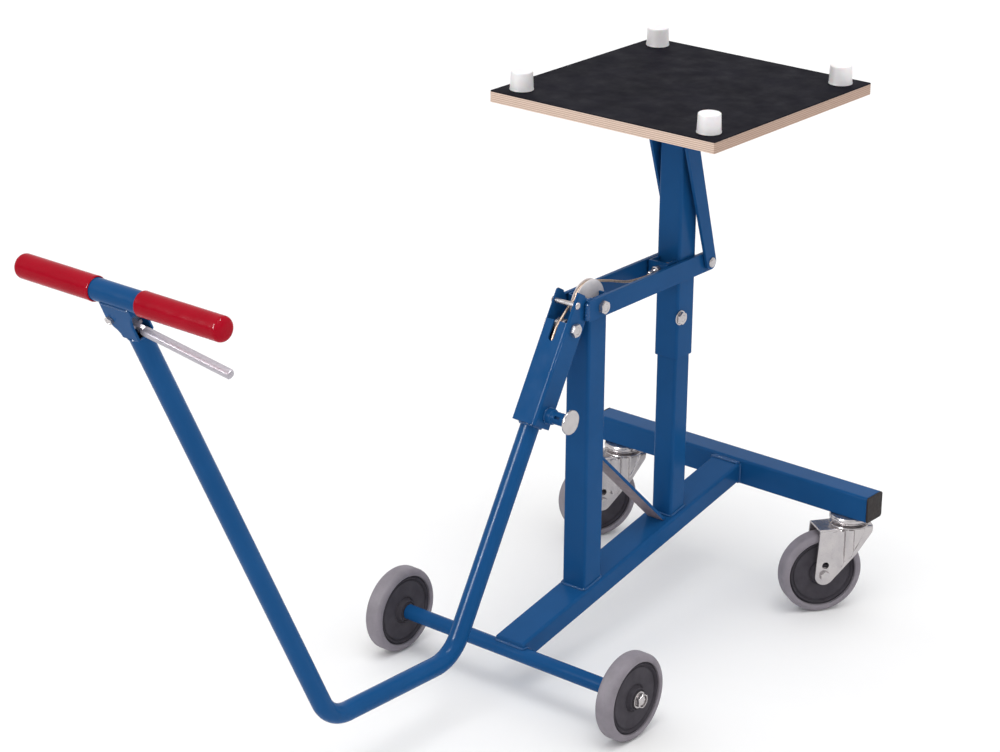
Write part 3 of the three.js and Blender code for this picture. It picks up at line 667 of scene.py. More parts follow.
def dress(made, body, slot, replaces=(), edge=0.0):
    """Gives a shaped object its material, softened edges, shading and body."""
    made.data.materials.clear()
    made.data.materials.append(MATERIALS[slot])
    if edge:
        soften(made, edge)
    made.data.polygons.foreach_set("use_smooth", [True] * len(made.data.polygons))
    made.data.set_sharp_from_angle(angle=SMOOTH_BELOW)
    normals = made.modifiers.new("normals", "WEIGHTED_NORMAL")
    normals.keep_sharp = True
    normals.weight = 80
    if body:
        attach(made, body)
    if replaces:
        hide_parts(*replaces)
    return made


def piece(name, solid, body, slot, replaces=(), cuts=(), edge=0.0, matrix=DRAWING):
    """One visible piece: its solid at matrix, cut by the cutters, riding on a body."""
    made = mesh_object(name, solid, matrix)
    if cuts:
        carve(made, cuts, matrix)
    return dress(made, body, slot, replaces, edge)


def weld(name, beads, body, matrix=DRAWING):
    """Painted beads; the paint is thicker and glossier there."""
    made = piece(name, merged(*beads), body, PAINT, matrix=matrix)
    made.data.materials[0] = WELD_PAINT


# ---------------------------------------------------------------- chassis

WHEEL_RADIUS = middle("rear_rim_left").z / MM
SPINE_SLOPE = 0.2
SPINE_MID = 66.9
SPINE_SIZE = (50, 30, 3)
TUBE_CORNER = 4.2
AXLE_RADIUS = 11
AXLE_HALF = 189.5
WASHER = ((8.4, 221.8), (11.6, 221.8), (12, 222.2), (12, 223.4), (11.6, 223.8), (8.4, 223.8))


def spine_top(y):
    return SPINE_MID + SPINE_SLOPE * y + SPINE_SIZE[1] / 2 * math.hypot(1, SPINE_SLOPE)


def on_spine(y, half):
    """The outline of a post's foot on the sloping spine."""
    loop = rounded_rectangle(2 * half, 2 * half, TUBE_CORNER, (0, y))
    return [(u, v, spine_top(v) + 0.5) for u, v in loop]


def build_spine():
    width, height, wall = SPINE_SIZE
    tilt = math.atan(SPINE_SLOPE)
    c, s = math.cos(tilt), math.sin(tilt)
    y0, y1 = span("chassis_spine")[1]
    local = moved(0, 0, SPINE_MID) @ basis((1, 0, 0), (0, -s, c), (0, c, s))
    bar = box_tube(width, height, wall, TUBE_CORNER, (y0 / c, SPINE_SLOPE), (y1 / c, SPINE_SLOPE))
    saddle = drill(AXLE_RADIUS + GAP, -60, 60, 0, WHEEL_RADIUS, 72)
    under = block((-60, 60), (y0 - 1, AXLE_RADIUS), (0, WHEEL_RADIUS))
    piece("spine", placed(bar, local), "chassis", PAINT, ["chassis_spine"], [saddle, under], 0.5)
    end = block((-22.4, 22.4), (y0 + 0.2, y0 + 3), (SPINE_MID - 12.8, SPINE_MID + 12.0))
    piece("spine_end", end, "chassis", PAINT, (), [saddle, under], 0.3)


def build_crossbar():
    (x0, x1), (y0, y1), (z0, z1) = span("front_crossbar")
    depth, height = y1 - y0, z1 - z0
    centre = moved(0, (y0 + y1) / 2, (z0 + z1) / 2)
    bar = box_tube(depth, height, 3, TUBE_CORNER, (x0, 0), (x1, 0))
    piece("crossbar", placed(bar, centre @ YZ_X), "chassis", PAINT, ["front_crossbar"])
    for name, side in SIDES:
        node = "crossbar_end_cap_" + name
        inner, outer = sorted(span(node)[0], key=abs)
        rim = side * (x1 + GAP)
        flange = plate(rounded_rectangle(depth, height, TUBE_CORNER), rim, outer, 1.1)
        plug = plate(rounded_rectangle(depth - 7, height - 7, 2), inner, rim + side * 1.0)
        cap = placed(merged(flange, plug), centre @ YZ_X)
        piece("end_cap_" + name, cap, "chassis", "black_plastic", [node])


def thread(radius, start, end, pitch=1.6, depth=0.55):
    """The profile of a threaded end: rings of the thread's depth and pitch."""
    count = int(abs(end - start) / pitch)
    step = (end - start) / count
    profile = []
    for i in range(count):
        profile += [(radius - depth, start + i * step), (radius, start + (i + 0.5) * step)]
    return profile + [(radius - depth, end)]


def build_rear_axle():
    place = moved(0, 0, WHEEL_RADIUS) @ ALONG_X
    half = AXLE_HALF
    bar = lathe([(10.2, -half), (AXLE_RADIUS, -half + 0.8), (AXLE_RADIUS, half - 0.8), (10.2, half)], 72)
    piece("axle_bar", placed(bar, place), "chassis", PAINT, ["rear_axle"])
    reach = span("rear_axle")[0][1]
    bore = drill(8.15, -260, 260, 0, WHEEL_RADIUS, 48)
    for name, side in SIDES:
        profile = [(7.9, half - 1), (7.9, 221)] + thread(8, 222, reach - 1.2) + [(6.4, reach)]
        stub = lathe([(r, side * h) for r, h in profile], 48)
        piece("axle_stub_" + name, placed(stub, place), "chassis", ZINC)
        washer = lathe([(r, side * h) for r, h in WASHER], 64, True)
        nut = placed(merged(washer, hexagon(19, side * 223.9, side * 230)), place)
        piece("axle_nut_" + name, nut, "chassis", ZINC, ["rear_axle_nut_" + name], [bore], 0.3)


def square_post(node, size):
    """The node's square tube, from the sloping spine up to its top."""
    _, (y0, y1), (_, top) = span(node)
    mid = (y0 + y1) / 2
    bar = box_tube(size, size, 3, TUBE_CORNER, (spine_top(mid) + GAP, SPINE_SLOPE), (top, 0))
    return placed(bar, moved(0, mid, 0)), mid, top


def build_post_and_column():
    bar, mid, top = square_post("lever_post", 40)
    slot = block((-6, 6), (mid - 30, mid + 30), (497, top + 9))
    bore = drill(6 + GAP, -40, 40, *PIVOT[1:], 48)
    piece("post", bar, "chassis", PAINT, ["lever_post"], [slot, bore], 0.5)
    bar, _, _ = square_post("inner_column", 35)
    piece("inner_post", bar, "chassis", PAINT, ["inner_column"])


def build_brace():
    (x0, x1), (y0, y1), (_, top) = span("column_brace")
    heel = y1 - 6
    outline = [(y0, top), (y1, spine_top(y1) + 0.4), (heel, spine_top(heel) + 0.4), (y0, top - 7)]
    bar = placed(plate(outline, x0, x1, 1.2), YZ_X)
    made = piece("brace", bar, "chassis", PAINT, ["column_brace"])
    made.data.materials.append(brace_underside_grey())
    # Faces pointing downwards take the brownish-grey; the rest keep the blue paint.
    for face in made.data.polygons:
        face.material_index = int(face.normal.z < -0.5)


def build_chassis_welds():
    post, column = middle_of("lever_post")[1], middle_of("inner_column")[1]
    beads = [bead(on_spine(post, 20.6), 2.3, True), bead(on_spine(column, 18.1), 2.2, True)]
    joint = span("chassis_spine")[1][1] + 0.2
    low, high = spine_top(joint) - 30.6, spine_top(joint)
    around = rounded_rectangle(51, high - low + 1, TUBE_CORNER, (0, (low + high) / 2))
    beads.append(bead([(u, joint - 0.6, v) for u, v in around], 2.5, True))
    beads.append(bead([(-23, joint - 3.6, high - 0.1), (23, joint - 3.6, high - 0.1)], 2.0))
    (x0, x1), (y0, y1), (_, top) = span("column_brace")
    foot = spine_top(y1) + 0.6
    beads.append(bead([(x0 + 1, y1 + 0.5, foot), (x1 - 1, y1 + 0.5, foot)], 1.9))
    beads.append(bead([(x0 + 1, y0 + 0.4, top), (x1 - 1, y0 + 0.4, top)], 2.0))
    for x in (-25.4, 25.4):
        curve = arc((0, WHEEL_RADIUS), 12.0, 20, 115, 12)
        beads.append(bead([(x, y, z) for y, z in curve], 1.9))
    rear = span("chassis_spine")[1][0]
    level = WHEEL_RADIUS + math.sqrt(11.5**2 - rear**2)
    beads.append(bead([(-25, rear - 0.2, level), (25.5, rear - 0.2, level)], 2.6))
    weld("frame_welds", beads, "chassis")


# ---------------------------------------------------------------- wheels


def tyre_profile(half):
    outer, shoulder = WHEEL_RADIUS, 8
    rise = [(51.8, half - 1.6), (52.8, half - 0.5), (54.4, half)]
    crown = [(outer - shoulder + u, half - shoulder + v) for u, v in arc((0, 0), shoulder, 82, 0, 10)]
    return mirrored(rise + crown + [(outer - 0.05, 0.9), (outer, 0.3)])


def rim_profile(bore, hub):
    return mirrored([
        (bore, hub - 0.6), (bore + 0.6, hub), (12.6, hub), (13.0, hub - 1.4), (14.2, hub - 1.4), (14.6, hub),
        (15.4, hub - 0.2), (16.0, hub - 1.0), (16.6, 9.4), (18.2, 7.4), (20.2, 8.8), (21.0, 9.2),
        (42.6, 9.4), (43.6, 9.0), (44.4, 7.8), (45.6, 7.6), (46.6, 8.8), (47.2, 10.4), (48.2, 11.2),
        (49.2, 10.6), (49.9, 9.0), (50.8, 8.8), (51.5, 9.6),
    ])


def build_wheel(kind, side_name, body, place, width, bore, hub):
    for part, profile, slot in (
        ("tyre", tyre_profile(width / 2), "grey_tyre"),
        ("rim", rim_profile(bore, hub), "dark_rim"),
    ):
        node = f"{kind}_{part}_{side_name}"
        shape = placed(lathe(profile, 128, True), place)
        piece(f"{kind}_wheel_{part}_{side_name}", shape, body, slot, [node])


def build_rear_wheels():
    for name, _ in SIDES:
        low, high = span("rear_tyre_" + name)[0]
        place = moved((low + high) / 2, 0, WHEEL_RADIUS) @ ALONG_X
        build_wheel("rear", name, "rear_wheel_" + name, place, high - low, 8.3, 15.2)


# ---------------------------------------------------------------- casters

TRAIL = 43.3
LEG = 20.0  # half the distance between the legs' middle surfaces
CROWN = 134.5  # the crown's middle surface
FOOT_RADIUS = 15  # the legs' rounded lower ends
CROWN_BEND = 3
FLUTES = (-19.0, -4.5)
FLUTE_WIDTH = 4.0
FORK_HEAD = ((8, 135.6), (29.2, 135.6), (29.9, 136.4), (29.4, 137.2), (26.5, 137.4), (24.6, 138.4), (23.4, 139.0),
             (8, 139.0))


def swivel_place(name):
    """The caster's own frame: z up its swivel axis, y away from its wheel."""
    mount, tyre = middle_of("caster_mount_" + name), middle_of("caster_tyre_" + name)
    turn = math.atan2(tyre[0] - mount[0], mount[1] - tyre[1])
    return moved(mount[0], mount[1], 0) @ turned(math.degrees(turn), "Z")


def leg_edges(z):
    """The leg's rear and front edge at height z."""
    foot = math.sqrt(max(FOOT_RADIUS**2 - (z - WHEEL_RADIUS) ** 2, 0))
    rear = -TRAIL - foot if z < WHEEL_RADIUS else -58.3 + 5 * (z - WHEEL_RADIUS) / 73.5
    if z < 52.86:
        return rear, -TRAIL + foot
    front = np.interp(z, [52.86, 91.7, 125, 131, 200], [-31.8, 5.3, 28.5, 29.5, 29.5])
    return rear, float(front)


def leg_press(y, z):
    """How far the leg is pressed in at (y, z): a rounded field, with two upright flutes standing out of it."""
    front = leg_edges(z)[1]
    field = 1 / (1 + math.exp(-(y + 34.0) * 1.6)) * 1 / (1 + math.exp(-(front - 7 - y) * 1.3))
    field *= 1 / (1 + math.exp(-(z - 74 - 0.035 * (y + 22) ** 2) * 0.9))
    flutes = sum(math.exp(-((y - place) / FLUTE_WIDTH) ** 2) for place in FLUTES)
    return field * (1.5 - 4.9 * flutes)


def fork_sheet(columns=56):
    """The fork's middle surface: up one leg, over the rounded crown and down the other."""
    foot = [WHEEL_RADIUS - FOOT_RADIUS * math.cos(a) for a in np.radians(np.linspace(4, 72, 9))]
    levels = foot + list(np.linspace(60, CROWN - 3.4, 44))
    rows = [(LEG, z, z) for z in levels]
    corner = (LEG - CROWN_BEND, CROWN - CROWN_BEND)
    rows += [(x, z, CROWN) for x, z in arc(corner, CROWN_BEND, 15, 90, 5)]
    rows += [(x, CROWN, CROWN) for x in (14, 11, 8, 4)]
    left = [(-x, z, edge) for x, z, edge in rows[::-1]]
    vertices, faces = [], []
    for x, z, edge in rows + left:
        low, high = leg_edges(min(edge, CROWN - 3.4))
        high += 1.4 * (1 - (x / LEG) ** 2) if edge == CROWN else 0
        for t in np.linspace(0, 1, columns):
            y = low + (high - low) * t
            push = leg_press(y, z) * math.copysign(1, x) if abs(x) == LEG else 0
            vertices.append((x - push, y, z))
    for i in range(len(rows) + len(left) - 1):
        for k in range(columns - 1):
            a = i * columns + k
            faces.append((a, a + 1, a + columns + 1, a + columns))
    return np.array(vertices), faces


def build_fork(name, place):
    body = "caster_fork_" + name
    made = mesh_object("caster_yoke_" + name, placed(fork_sheet(), place), DRAWING)
    thicken = made.modifiers.new("thicken", "SOLIDIFY")
    thicken.thickness = 3 * MM
    thicken.offset = 0
    apply_modifiers(made)
    hole = placed(lathe([(5.4, -40), (5.4, 40)], 32), place @ moved(0, -42.7, 78.5) @ ALONG_X)
    carve(made, [hole], DRAWING)
    dress(made, body, ZINC, ["caster_fork_" + name], 0.7)
    piece("swivel_head_" + name, placed(lathe(FORK_HEAD, 96), place), body, ZINC)


def build_caster_bolt(name, place):
    at_axle = place @ moved(0, -TRAIL, WHEEL_RADIUS) @ ALONG_X
    parts = [rod(5, -26, 26, 0.8)]
    for _, side in SIDES:
        parts.append(hexagon(13.6, side * 21.9, side * 26.3, 0.5))
        collar = [(5.3, 17.9), (11.6, 17.9), (12, 18.3), (5.3, 18.35)]
        parts.append(lathe([(r, side * h) for r, h in collar], 48, True))
    bolt = placed(merged(*parts), at_axle)
    piece("caster_bolt_" + name, bolt, "caster_fork_" + name, ZINC, ["caster_axle_bolt_" + name])


def build_casters():
    top = span("caster_mount_left")[2][1]
    race = [
        (6, 139.5), (25.2, 139.5), (27.2, 140.3), (28.6, 141.8), (28.9, 142.8), (28.2, 143.4), (29.2, 144.0),
        (29.9, 145.0), (29.9, 148.0), (29.3, 149.2), (28.2, top), (6, top),
    ]
    for name, _ in SIDES:
        place = swivel_place(name)
        piece("swivel_race_" + name, placed(lathe(race, 96), place), "chassis", ZINC, ["caster_mount_" + name])
        build_fork(name, place)
        build_caster_bolt(name, place)
        axle = place @ moved(0, -TRAIL, WHEEL_RADIUS) @ ALONG_X
        build_wheel("caster", name, "caster_wheel_" + name, axle, 30, 5.3, 17.5)


# ---------------------------------------------------------------- platform


def build_lift_column():
    (x0, x1), (y0, y1), (low, high) = span("lift_column")
    bar = box_tube(x1 - x0, y1 - y0, 2, TUBE_CORNER, (low, 0), (high, 0))
    bar = placed(bar, moved(0, (y0 + y1) / 2, 0))
    lock = middle_of("lock_bolt")
    hole = placed(lathe([(5.3, 0), (5.3, 10)], 40), moved(0, y0 - 3, lock[2]) @ ALONG_Y)
    piece("lift_tube", bar, "lift_column", PAINT, ["lift_column"], [hole])
    screw = middle_of("column_guide_screw")
    reach = span("column_guide_screw")[0][1]
    washer = lathe([(5, 20.3), (10.6, 20.3), (11, 20.7), (11, 21.7), (10.6, 22.1), (5, 22.1)], 64)
    parts = merged(washer, hexagon(17, 22.2, reach, 0.8), rod(4, 18.2, 21))
    parts = placed(parts, moved(0, screw[1], screw[2]) @ ALONG_X)
    piece("guide_screw", parts, "lift_column", ZINC, ["column_guide_screw"])


def lug_outline(top):
    foot = arc((328, 751), 7, 180, 270, 6) + arc((348, 751), 7, 270, 360, 6)
    return [(317, top), (320, 754)] + foot + [(358, 754), (359.5, top)]


def build_platform():
    (x0, x1), (y0, y1), (_, high) = span("platform_carrier")
    low = high - 4
    flat = rounded_rectangle(x1 - x0, y1 - y0, 8, (0, (y0 + y1) / 2))
    piece("carrier_plate", plate(flat, low, high, 0.8), "lift_column", PAINT, ["platform_carrier"])
    slot = arc((341.4 + 1, 757), 5.8, -90, 90, 12) + arc((341.4 - 7.5, 757), 5.8, 90, 270, 12)
    for name, start, end in (("left", -26, -21), ("right", 21, 26)):
        lug = placed(plate(lug_outline(low + 0.5), start, end, 0.8), YZ_X)
        cutter = placed(plate(slot, start - 3, end + 3, 0.01), YZ_X)
        piece("lug_" + name, lug, "lift_column", PAINT, (), [cutter])
    column = rounded_rectangle(42, 42, TUBE_CORNER, (0, middle_of("lift_column")[1]))
    beads = [bead([(u, v, low - 0.8) for u, v in column], 2.2, True)]
    for x in (-27, 27):
        beads.append(bead([(x, 319, low - 0.4), (x, 357, low - 0.4)], 1.8))
    weld("platform_welds", beads, "lift_column")
    (x0, x1), (y0, y1), (low, high) = BOARD
    square = rounded_rectangle(x1 - x0, y1 - y0, 2.5, (0, (y0 + y1) / 2), 4)
    board = plate(square, low, high, 0.5)
    piece("plywood", board, "lift_column", "birch_plywood", ["platform_board"])
    film = plate(square, *span("platform_mat")[2], 0.35)
    piece("top_film", film, "lift_column", "dark_film", ["platform_mat"])
    for i in (1, 2, 3, 4):
        build_peg(i)


def build_peg(number):
    (x0, x1), (y0, y1), (low, high) = span(f"platform_peg_{number}")
    top = [(15.62 - 1.9 + u, high - 1.9 + v) for u, v in arc((0, 0), 1.9, 0, 90, 5)]
    dish = [(9.0, high), (8.0, high - 0.5), (2.0, high - 0.5)]
    profile = [(16.4, low), (17.0, low + 0.5), (16.9, low + 2.2), (16.5, low + 3.0)] + top + dish
    shape = placed(lathe(profile, 72), moved((x0 + x1) / 2, (y0 + y1) / 2, 0))
    piece(f"peg_{number}", shape, "lift_column", "white_peg", [f"platform_peg_{number}"])


# ---------------------------------------------------------------- column lock


def build_lock():
    (x0, x1), (y0, y1), (z0, z1) = span("lock_housing")
    left, right, front = x0 + 3, x1 - 3, y0 + 3
    outline = [
        (x0, y1), (x0, y0), (x1, y0), (x1, y1), (right, y1), (right, front), (left, front), (left, y1),
    ]
    _, (_, tip), (b0, b1) = span("lock_bolt")
    level = (b0 + b1) / 2
    bore = placed(lathe([(5.3, y0 - 5), (5.3, y0 + 8)], 40), moved(0, 0, level) @ ALONG_Y)
    shell = plate(outline, z0, z1, 0.5)
    piece("lock_shell", shell, "lift_column", PAINT, ["lock_housing"], [bore], 0.8)
    edges = [[(x, y1, z0 + 1), (x, y1, z1 - 1)] for x in (x0 + 0.3, x1 - 0.3)]
    weld("lock_welds", [bead(edge, 1.6) for edge in edges], "lift_column")
    profile = [
        (2.4, 313.9), (5.6, 313.9), (6.9, 315.0), (7.0, 320.6), (6.3, 321.5), (5.0, 321.7), (5.0, 330.4),
        (7.7, 330.5), (8.0, 330.9), (8.0, 334.1), (7.7, 334.5), (5.0, 334.6), (5.0, tip - 1.2), (4.0, tip),
    ]
    bolt = placed(lathe(profile, 56), moved(0, 0, level) @ ALONG_Y)
    piece("lock_pin", bolt, "lock_bolt", ZINC, ["lock_bolt"])
    turns = 6
    coil = [
        (6.7 * math.cos(a), 323.4 + 6.4 * a / (2 * math.pi * turns), level + 6.7 * math.sin(a))
        for a in np.linspace(0, 2 * math.pi * turns, turns * 20)
    ]
    line = smooth_line(coil, 2.0)
    spring = along([p for p, _ in line], [d for _, d in line], disc(0.55, 8))
    piece("lock_spring", spring, "lock_bolt", ZINC)


# ---------------------------------------------------------------- lever and links


def build_arms():
    for name, _ in SIDES:
        (x0, x1), (y0, y1), (z0, z1) = span("lever_arm_" + name)
        nose = arc((y1 - 9, z0 + 9), 9, 270, 360, 8) + arc((y1 - 9, z1 - 9), 9, 0, 90, 8)
        bar = placed(plate([(y0, z0), *nose, (y0, z1)], x0, x1, 0.9), YZ_X)
        holes = [
            drill(r, x0 - 3, x1 + 3, y, PIVOT[2])
            for y, r in ((PIVOT[1], 6.3), (middle_of("link_lower_pin")[1], 5.3))
        ]
        piece("arm_" + name, bar, "lever", PAINT, ["lever_arm_" + name], holes)


def link_outline(low, high, low_radius, high_radius):
    lean = math.degrees(math.atan2(high[1] - low[1], high[0] - low[0]))
    return arc(low, low_radius, lean + 90, lean + 270, 16) + arc(high, high_radius, lean - 90, lean + 90, 16)


def build_links():
    low = middle_of("link_lower_pin")[1:]
    high = middle_of("link_upper_pin_left")[1:]
    for name, side in SIDES:
        (x0, x1), _, _ = span("link_" + name)
        bar = placed(plate(link_outline(low, high, 11, 15), x0, x1, 0.9), YZ_X)
        holes = [drill(r, x0 - 3, x1 + 3, *place) for place, r in ((low, 5.3), (high, 5.2))]
        piece("side_link_" + name, bar, "lift_links", PAINT, ["link_" + name], holes)
        pin = placed(domed_pin(5, side * 20.8, side * 36.2, 7.5, 2.9), moved(0, *high) @ ALONG_X)
        piece("upper_pin_" + name, pin, "lift_links", ZINC, ["link_upper_pin_" + name])
    pin = placed(rivet(5, 36.2, 7.5, 2.9), moved(0, *low) @ ALONG_X)
    piece("lower_pin", pin, "lever", ZINC, ["link_lower_pin"])


def build_pivot():
    place = moved(0, *PIVOT[1:]) @ ALONG_X
    bolt = through_bolt(6, 32.4, 0.8, 17, 26.8, 33.0, 1.1)
    piece("pivot_bolt", placed(bolt, place), "chassis", ZINC, ["main_pivot_bolt"])
    profile = mirrored([
        (6.3, 4.0), (10.5, 4.0), (11.0, 3.7), (28.4, 3.7), (29.0, 4.0), (33.2, 4.0), (33.9, 3.5), (33.9, 2.9),
        (28.7, 2.1), (28.1, 1.5), (28.0, 0.5),
    ])
    sheave = placed(lathe(profile, 128, True), place)
    wheel = piece("sheave", sheave, "cable_sheave", ZINC, ["cable_sheave"])
    # The sheave takes the zinc with painted light.
    wheel.data.materials[0] = ZINC_WITH_PAINTED_LIGHT


# ---------------------------------------------------------------- lever socket

SOCKET = moved(0, 33, 385.4) @ turned(-29.7, "X")
INTO_SOCKET = SOCKET.inverted()
SOCKET_PLACE = DRAWING @ SOCKET


def socket_cutters():
    rear = [(-34, -75), (-21.8, -2), (-27.5, 14), (-36, 34), (60, 34), (60, -75)]
    rear = [(PIVOT[1] + y, PIVOT[2] + z) for y, z in rear]
    post_room = placed(plate(rear, -40, 40, 0.01), INTO_SOCKET @ YZ_X)
    at_pivot = INTO_SOCKET @ moved(0, *PIVOT[1:]) @ ALONG_X
    sheave_room = placed(lathe([(35.5, -6), (35.5, 6)], 96), at_pivot)
    front = block((-17, 17), (-21, -14), (153, 198))
    cable_slot = block((-5, 5), (-21, -14), (129, 154))
    slot_end = placed(lathe([(5, -21), (5, -14)], 48), moved(0, 0, 129) @ ALONG_Y)
    holes = [
        drill(r, low, high, y, z)
        for r, low, high, y, z in ((3.8, -30, 30, -13, 180), (6.3, -30, 30, -2, 148), (4.5, 10, 30, 5, 27))
    ]
    return [front, cable_slot, slot_end, post_room, sheave_room, *holes]


def rounded_nose():
    """What rounds off the socket's top front corner, seen from the side."""
    corner = [(-11 + u, 188 + v) for u, v in arc((0, 0), 9, 180, 90, 12)]
    return placed(plate([*corner, (-24, 197), (-24, 199), (-25, 199), (-25, 188)], -30, 30, 0.01), YZ_X)


def build_socket():
    bar = box_tube(40, 40, 3, TUBE_CORNER, (8, 0), (197, 0))
    cuts = [*socket_cutters(), rounded_nose()]
    piece("socket", bar, "lever", PAINT, ["lever_socket"], cuts, 0.6, SOCKET_PLACE)
    square = plate(rounded_rectangle(35, 35, 2), 8.1, 12, 0.3)
    bore = lathe([(13.7, 5), (13.7, 15)], 64)
    piece("socket_floor", square, "lever", PAINT, (), [bore], matrix=SOCKET_PLACE)


def build_socket_fittings():
    def fitted(name, solid, y, z, node):
        piece(name, placed(solid, moved(0, y, z) @ ALONG_X), "lever", ZINC, [node], matrix=SOCKET_PLACE)

    fitted("cross_pin", rivet(3.5, 22.9, 5.2, 2.5), -13, 180, "lever_cross_pin")
    fitted("clamp_bolt", through_bolt(6, 26.0, 0.8, 17, 20.4, 26.6, 1.1), -2, 148, "socket_bolt")
    roller = mirrored([(6.3, 8), (11.4, 8), (12, 7.4), (12, 4), (9.5, 2), (9.5, 0.5)])
    fitted("guide_roller", lathe(roller, 64, True), -2, 148, "cable_guide_roller")
    ring = bead([(20.6, 5 + u, 27 + v) for u, v in around(10.9, 40)], 1.7, True)
    foot = bead([(u, v, 7.6) for u, v in around(14.6, 48)], 2.6, True)
    weld("socket_welds", [ring, foot], "lever", SOCKET_PLACE)
    build_arm_welds()


def build_arm_welds():
    """Along the arms' rear ends, where they lie on the socket's sides."""
    beads = []
    for name, side in SIDES:
        (x0, x1), (y0, _), (z0, z1) = span("lever_arm_" + name)
        inner = side * 20.3
        outer = (x1 if side > 0 else x0) - side * 2.6
        beads.append(bead([(outer, y0 - 1, z0 + 2), (outer, y0 - 1, z1 - 2)], 4.0, pitch=5.5))
        beads.append(bead([(inner, y0 + 1, z1 + 0.2), (inner, y0 + 15, z1 + 0.2)], 2.0))
    weld("arm_welds", beads, "lever")


def build_plunger():
    place = moved(0, 5, 27) @ ALONG_X
    sleeve = [
        (4.4, 20.4), (10.5, 20.4), (11, 21), (11, 29), (10.4, 30), (9.4, 30.6), (9, 31.4), (9, 51.3),
        (8.3, 52), (4.9, 52), (4.4, 51.5),
    ]
    window = block((36, 45), (-6, 0), (25, 29))
    piece("plunger_tube", placed(lathe(sleeve, 64, True), place), "lever", PAINT, ["plunger_sleeve"],
          [window], 0.25, SOCKET_PLACE)
    knob = [
        (3.2, 12), (4, 12.9), (4, 55.9), (6, 56), (16.4, 56), (17.3, 56.6), (17.5, 57.4), (17.5, 58.8),
        (17.1, 59.5), (16.2, 60), (14, 60.0),
    ]
    piece("plunger_knob", placed(lathe(knob, 96), place), "index_plunger", ZINC, ["index_plunger"],
          matrix=SOCKET_PLACE)


# ---------------------------------------------------------------- drawbar and handle

HANDLE_CENTRE = (-702, 781)
HEEL = (-371.7, 108.5)
ELBOW = (-129.2, 101)
HANDLE_LEAN = math.degrees(math.atan2(HEEL[0] - HANDLE_CENTRE[0], HANDLE_CENTRE[1] - HEEL[1]))
HANDLE = moved(0, *HANDLE_CENTRE) @ turned(HANDLE_LEAN, "X")
HANDLE_PLACE = DRAWING @ HANDLE
LEVER_PIVOT = (-20, -29.5)
TUBE_TOP = 56  # from the handle's middle down to the drawbar's upper end


def drawbar_line(start):
    corners = [start, (0, *HEEL), (0, *ELBOW), SOCKET @ Vector((0, 0, 14))]
    return bent_line(corners, 57, 24)


def build_drawbar():
    line = drawbar_line(HANDLE @ Vector((0, 0, -TUBE_TOP)))
    points, ways = [p for p, _ in line], [d for _, d in line]
    bar = along(points, ways, disc(13.5, 56), hollow=disc(11, 56))
    piece("drawbar", bar, "lever", PAINT, ["drawbar_tube"], (), 0.5)


def build_handle_tube():
    half = span("handle_tube")[0][1]
    ring = [(11, -half), (13.2, -half), (13.5, -half + 0.4), (13.5, half - 0.4), (13.2, half), (11, half)]
    bar = placed(lathe(ring, 72, True), ALONG_X)
    piece("cross_tube", bar, "lever", PAINT, ["handle_tube"], matrix=HANDLE_PLACE)
    for name, side in SIDES:
        x0, x1 = sorted((abs(x) for x in span("grip_" + name)[0]))
        profile = [
            (13.8, x0 + 0.3), (14.5, x0), (15.1, x0 + 0.5), (15.42, x0 + 1.6), (15.35, x0 + 3.4),
            (15.2, x0 + 5.5), (15.2, x1 - 8.5),
        ]
        profile += [(7.2 + 8 * math.cos(a), x1 - 8.5 + 8 * math.sin(a)) for a in np.radians(range(8, 89, 8))]
        profile += [(4.0, x1 - 0.1), (0.02, x1), (0.02, half + 0.5), (13.8, half + 0.5)]
        grip = placed(lathe([(r, side * h) for r, h in profile], 96, True), ALONG_X)
        piece("hand_grip_" + name, grip, "lever", "red_grip", ["grip_" + name], matrix=HANDLE_PLACE)


def build_handle_bracket():
    bottom = -TUBE_TOP + GAP
    left = bezier((-19.5, -43.5), (-14.5, -46), (-13.4, bottom), 14)
    right = bezier((13.4, -36), (14, -22), (22, -14), 14)
    pivot_x, pivot_z = LEVER_PIVOT
    ear = arc((pivot_x, pivot_z - 2.5), 8, 180, 250, 10)
    outline = [(-27, -5), (-28, -28), *ear, *left, (13.4, bottom), *right, (22, -5)]
    solid = placed(plate(outline, -13.5, 13.5, 1.6), XZ_Y)
    cavity = block((-40, 40), (-10.5, 10.5), (-80, -19))
    saddle = placed(lathe([(13.8, -60), (13.8, 60)], 96), ALONG_X)
    place = moved(pivot_x, 0, pivot_z) @ ALONG_Y
    cuts = [cavity, saddle, placed(lathe([(4.3, -20), (4.3, 20)], 40), place)]
    piece("bracket", solid, "lever", PAINT, ["handle_bracket"], cuts, 0.7, HANDLE_PLACE)
    beads = [bead([(-26.5, y, -6.2), (21.5, y, -6.2)], 1.8) for y in (-12.6, 12.6)]
    beads.append(bead([(u, v, bottom + 0.4) for u, v in around(13.6, 48)], 1.3, True))
    weld("handle_welds", beads, "lever", HANDLE_PLACE)
    bolt = placed(through_bolt(4, 17.2, 0.7, 10, 13.9, 17.7, 0.7), place)
    piece("lever_bolt", bolt, "lever", ZINC, ["hand_lever_bolt"], matrix=HANDLE_PLACE)


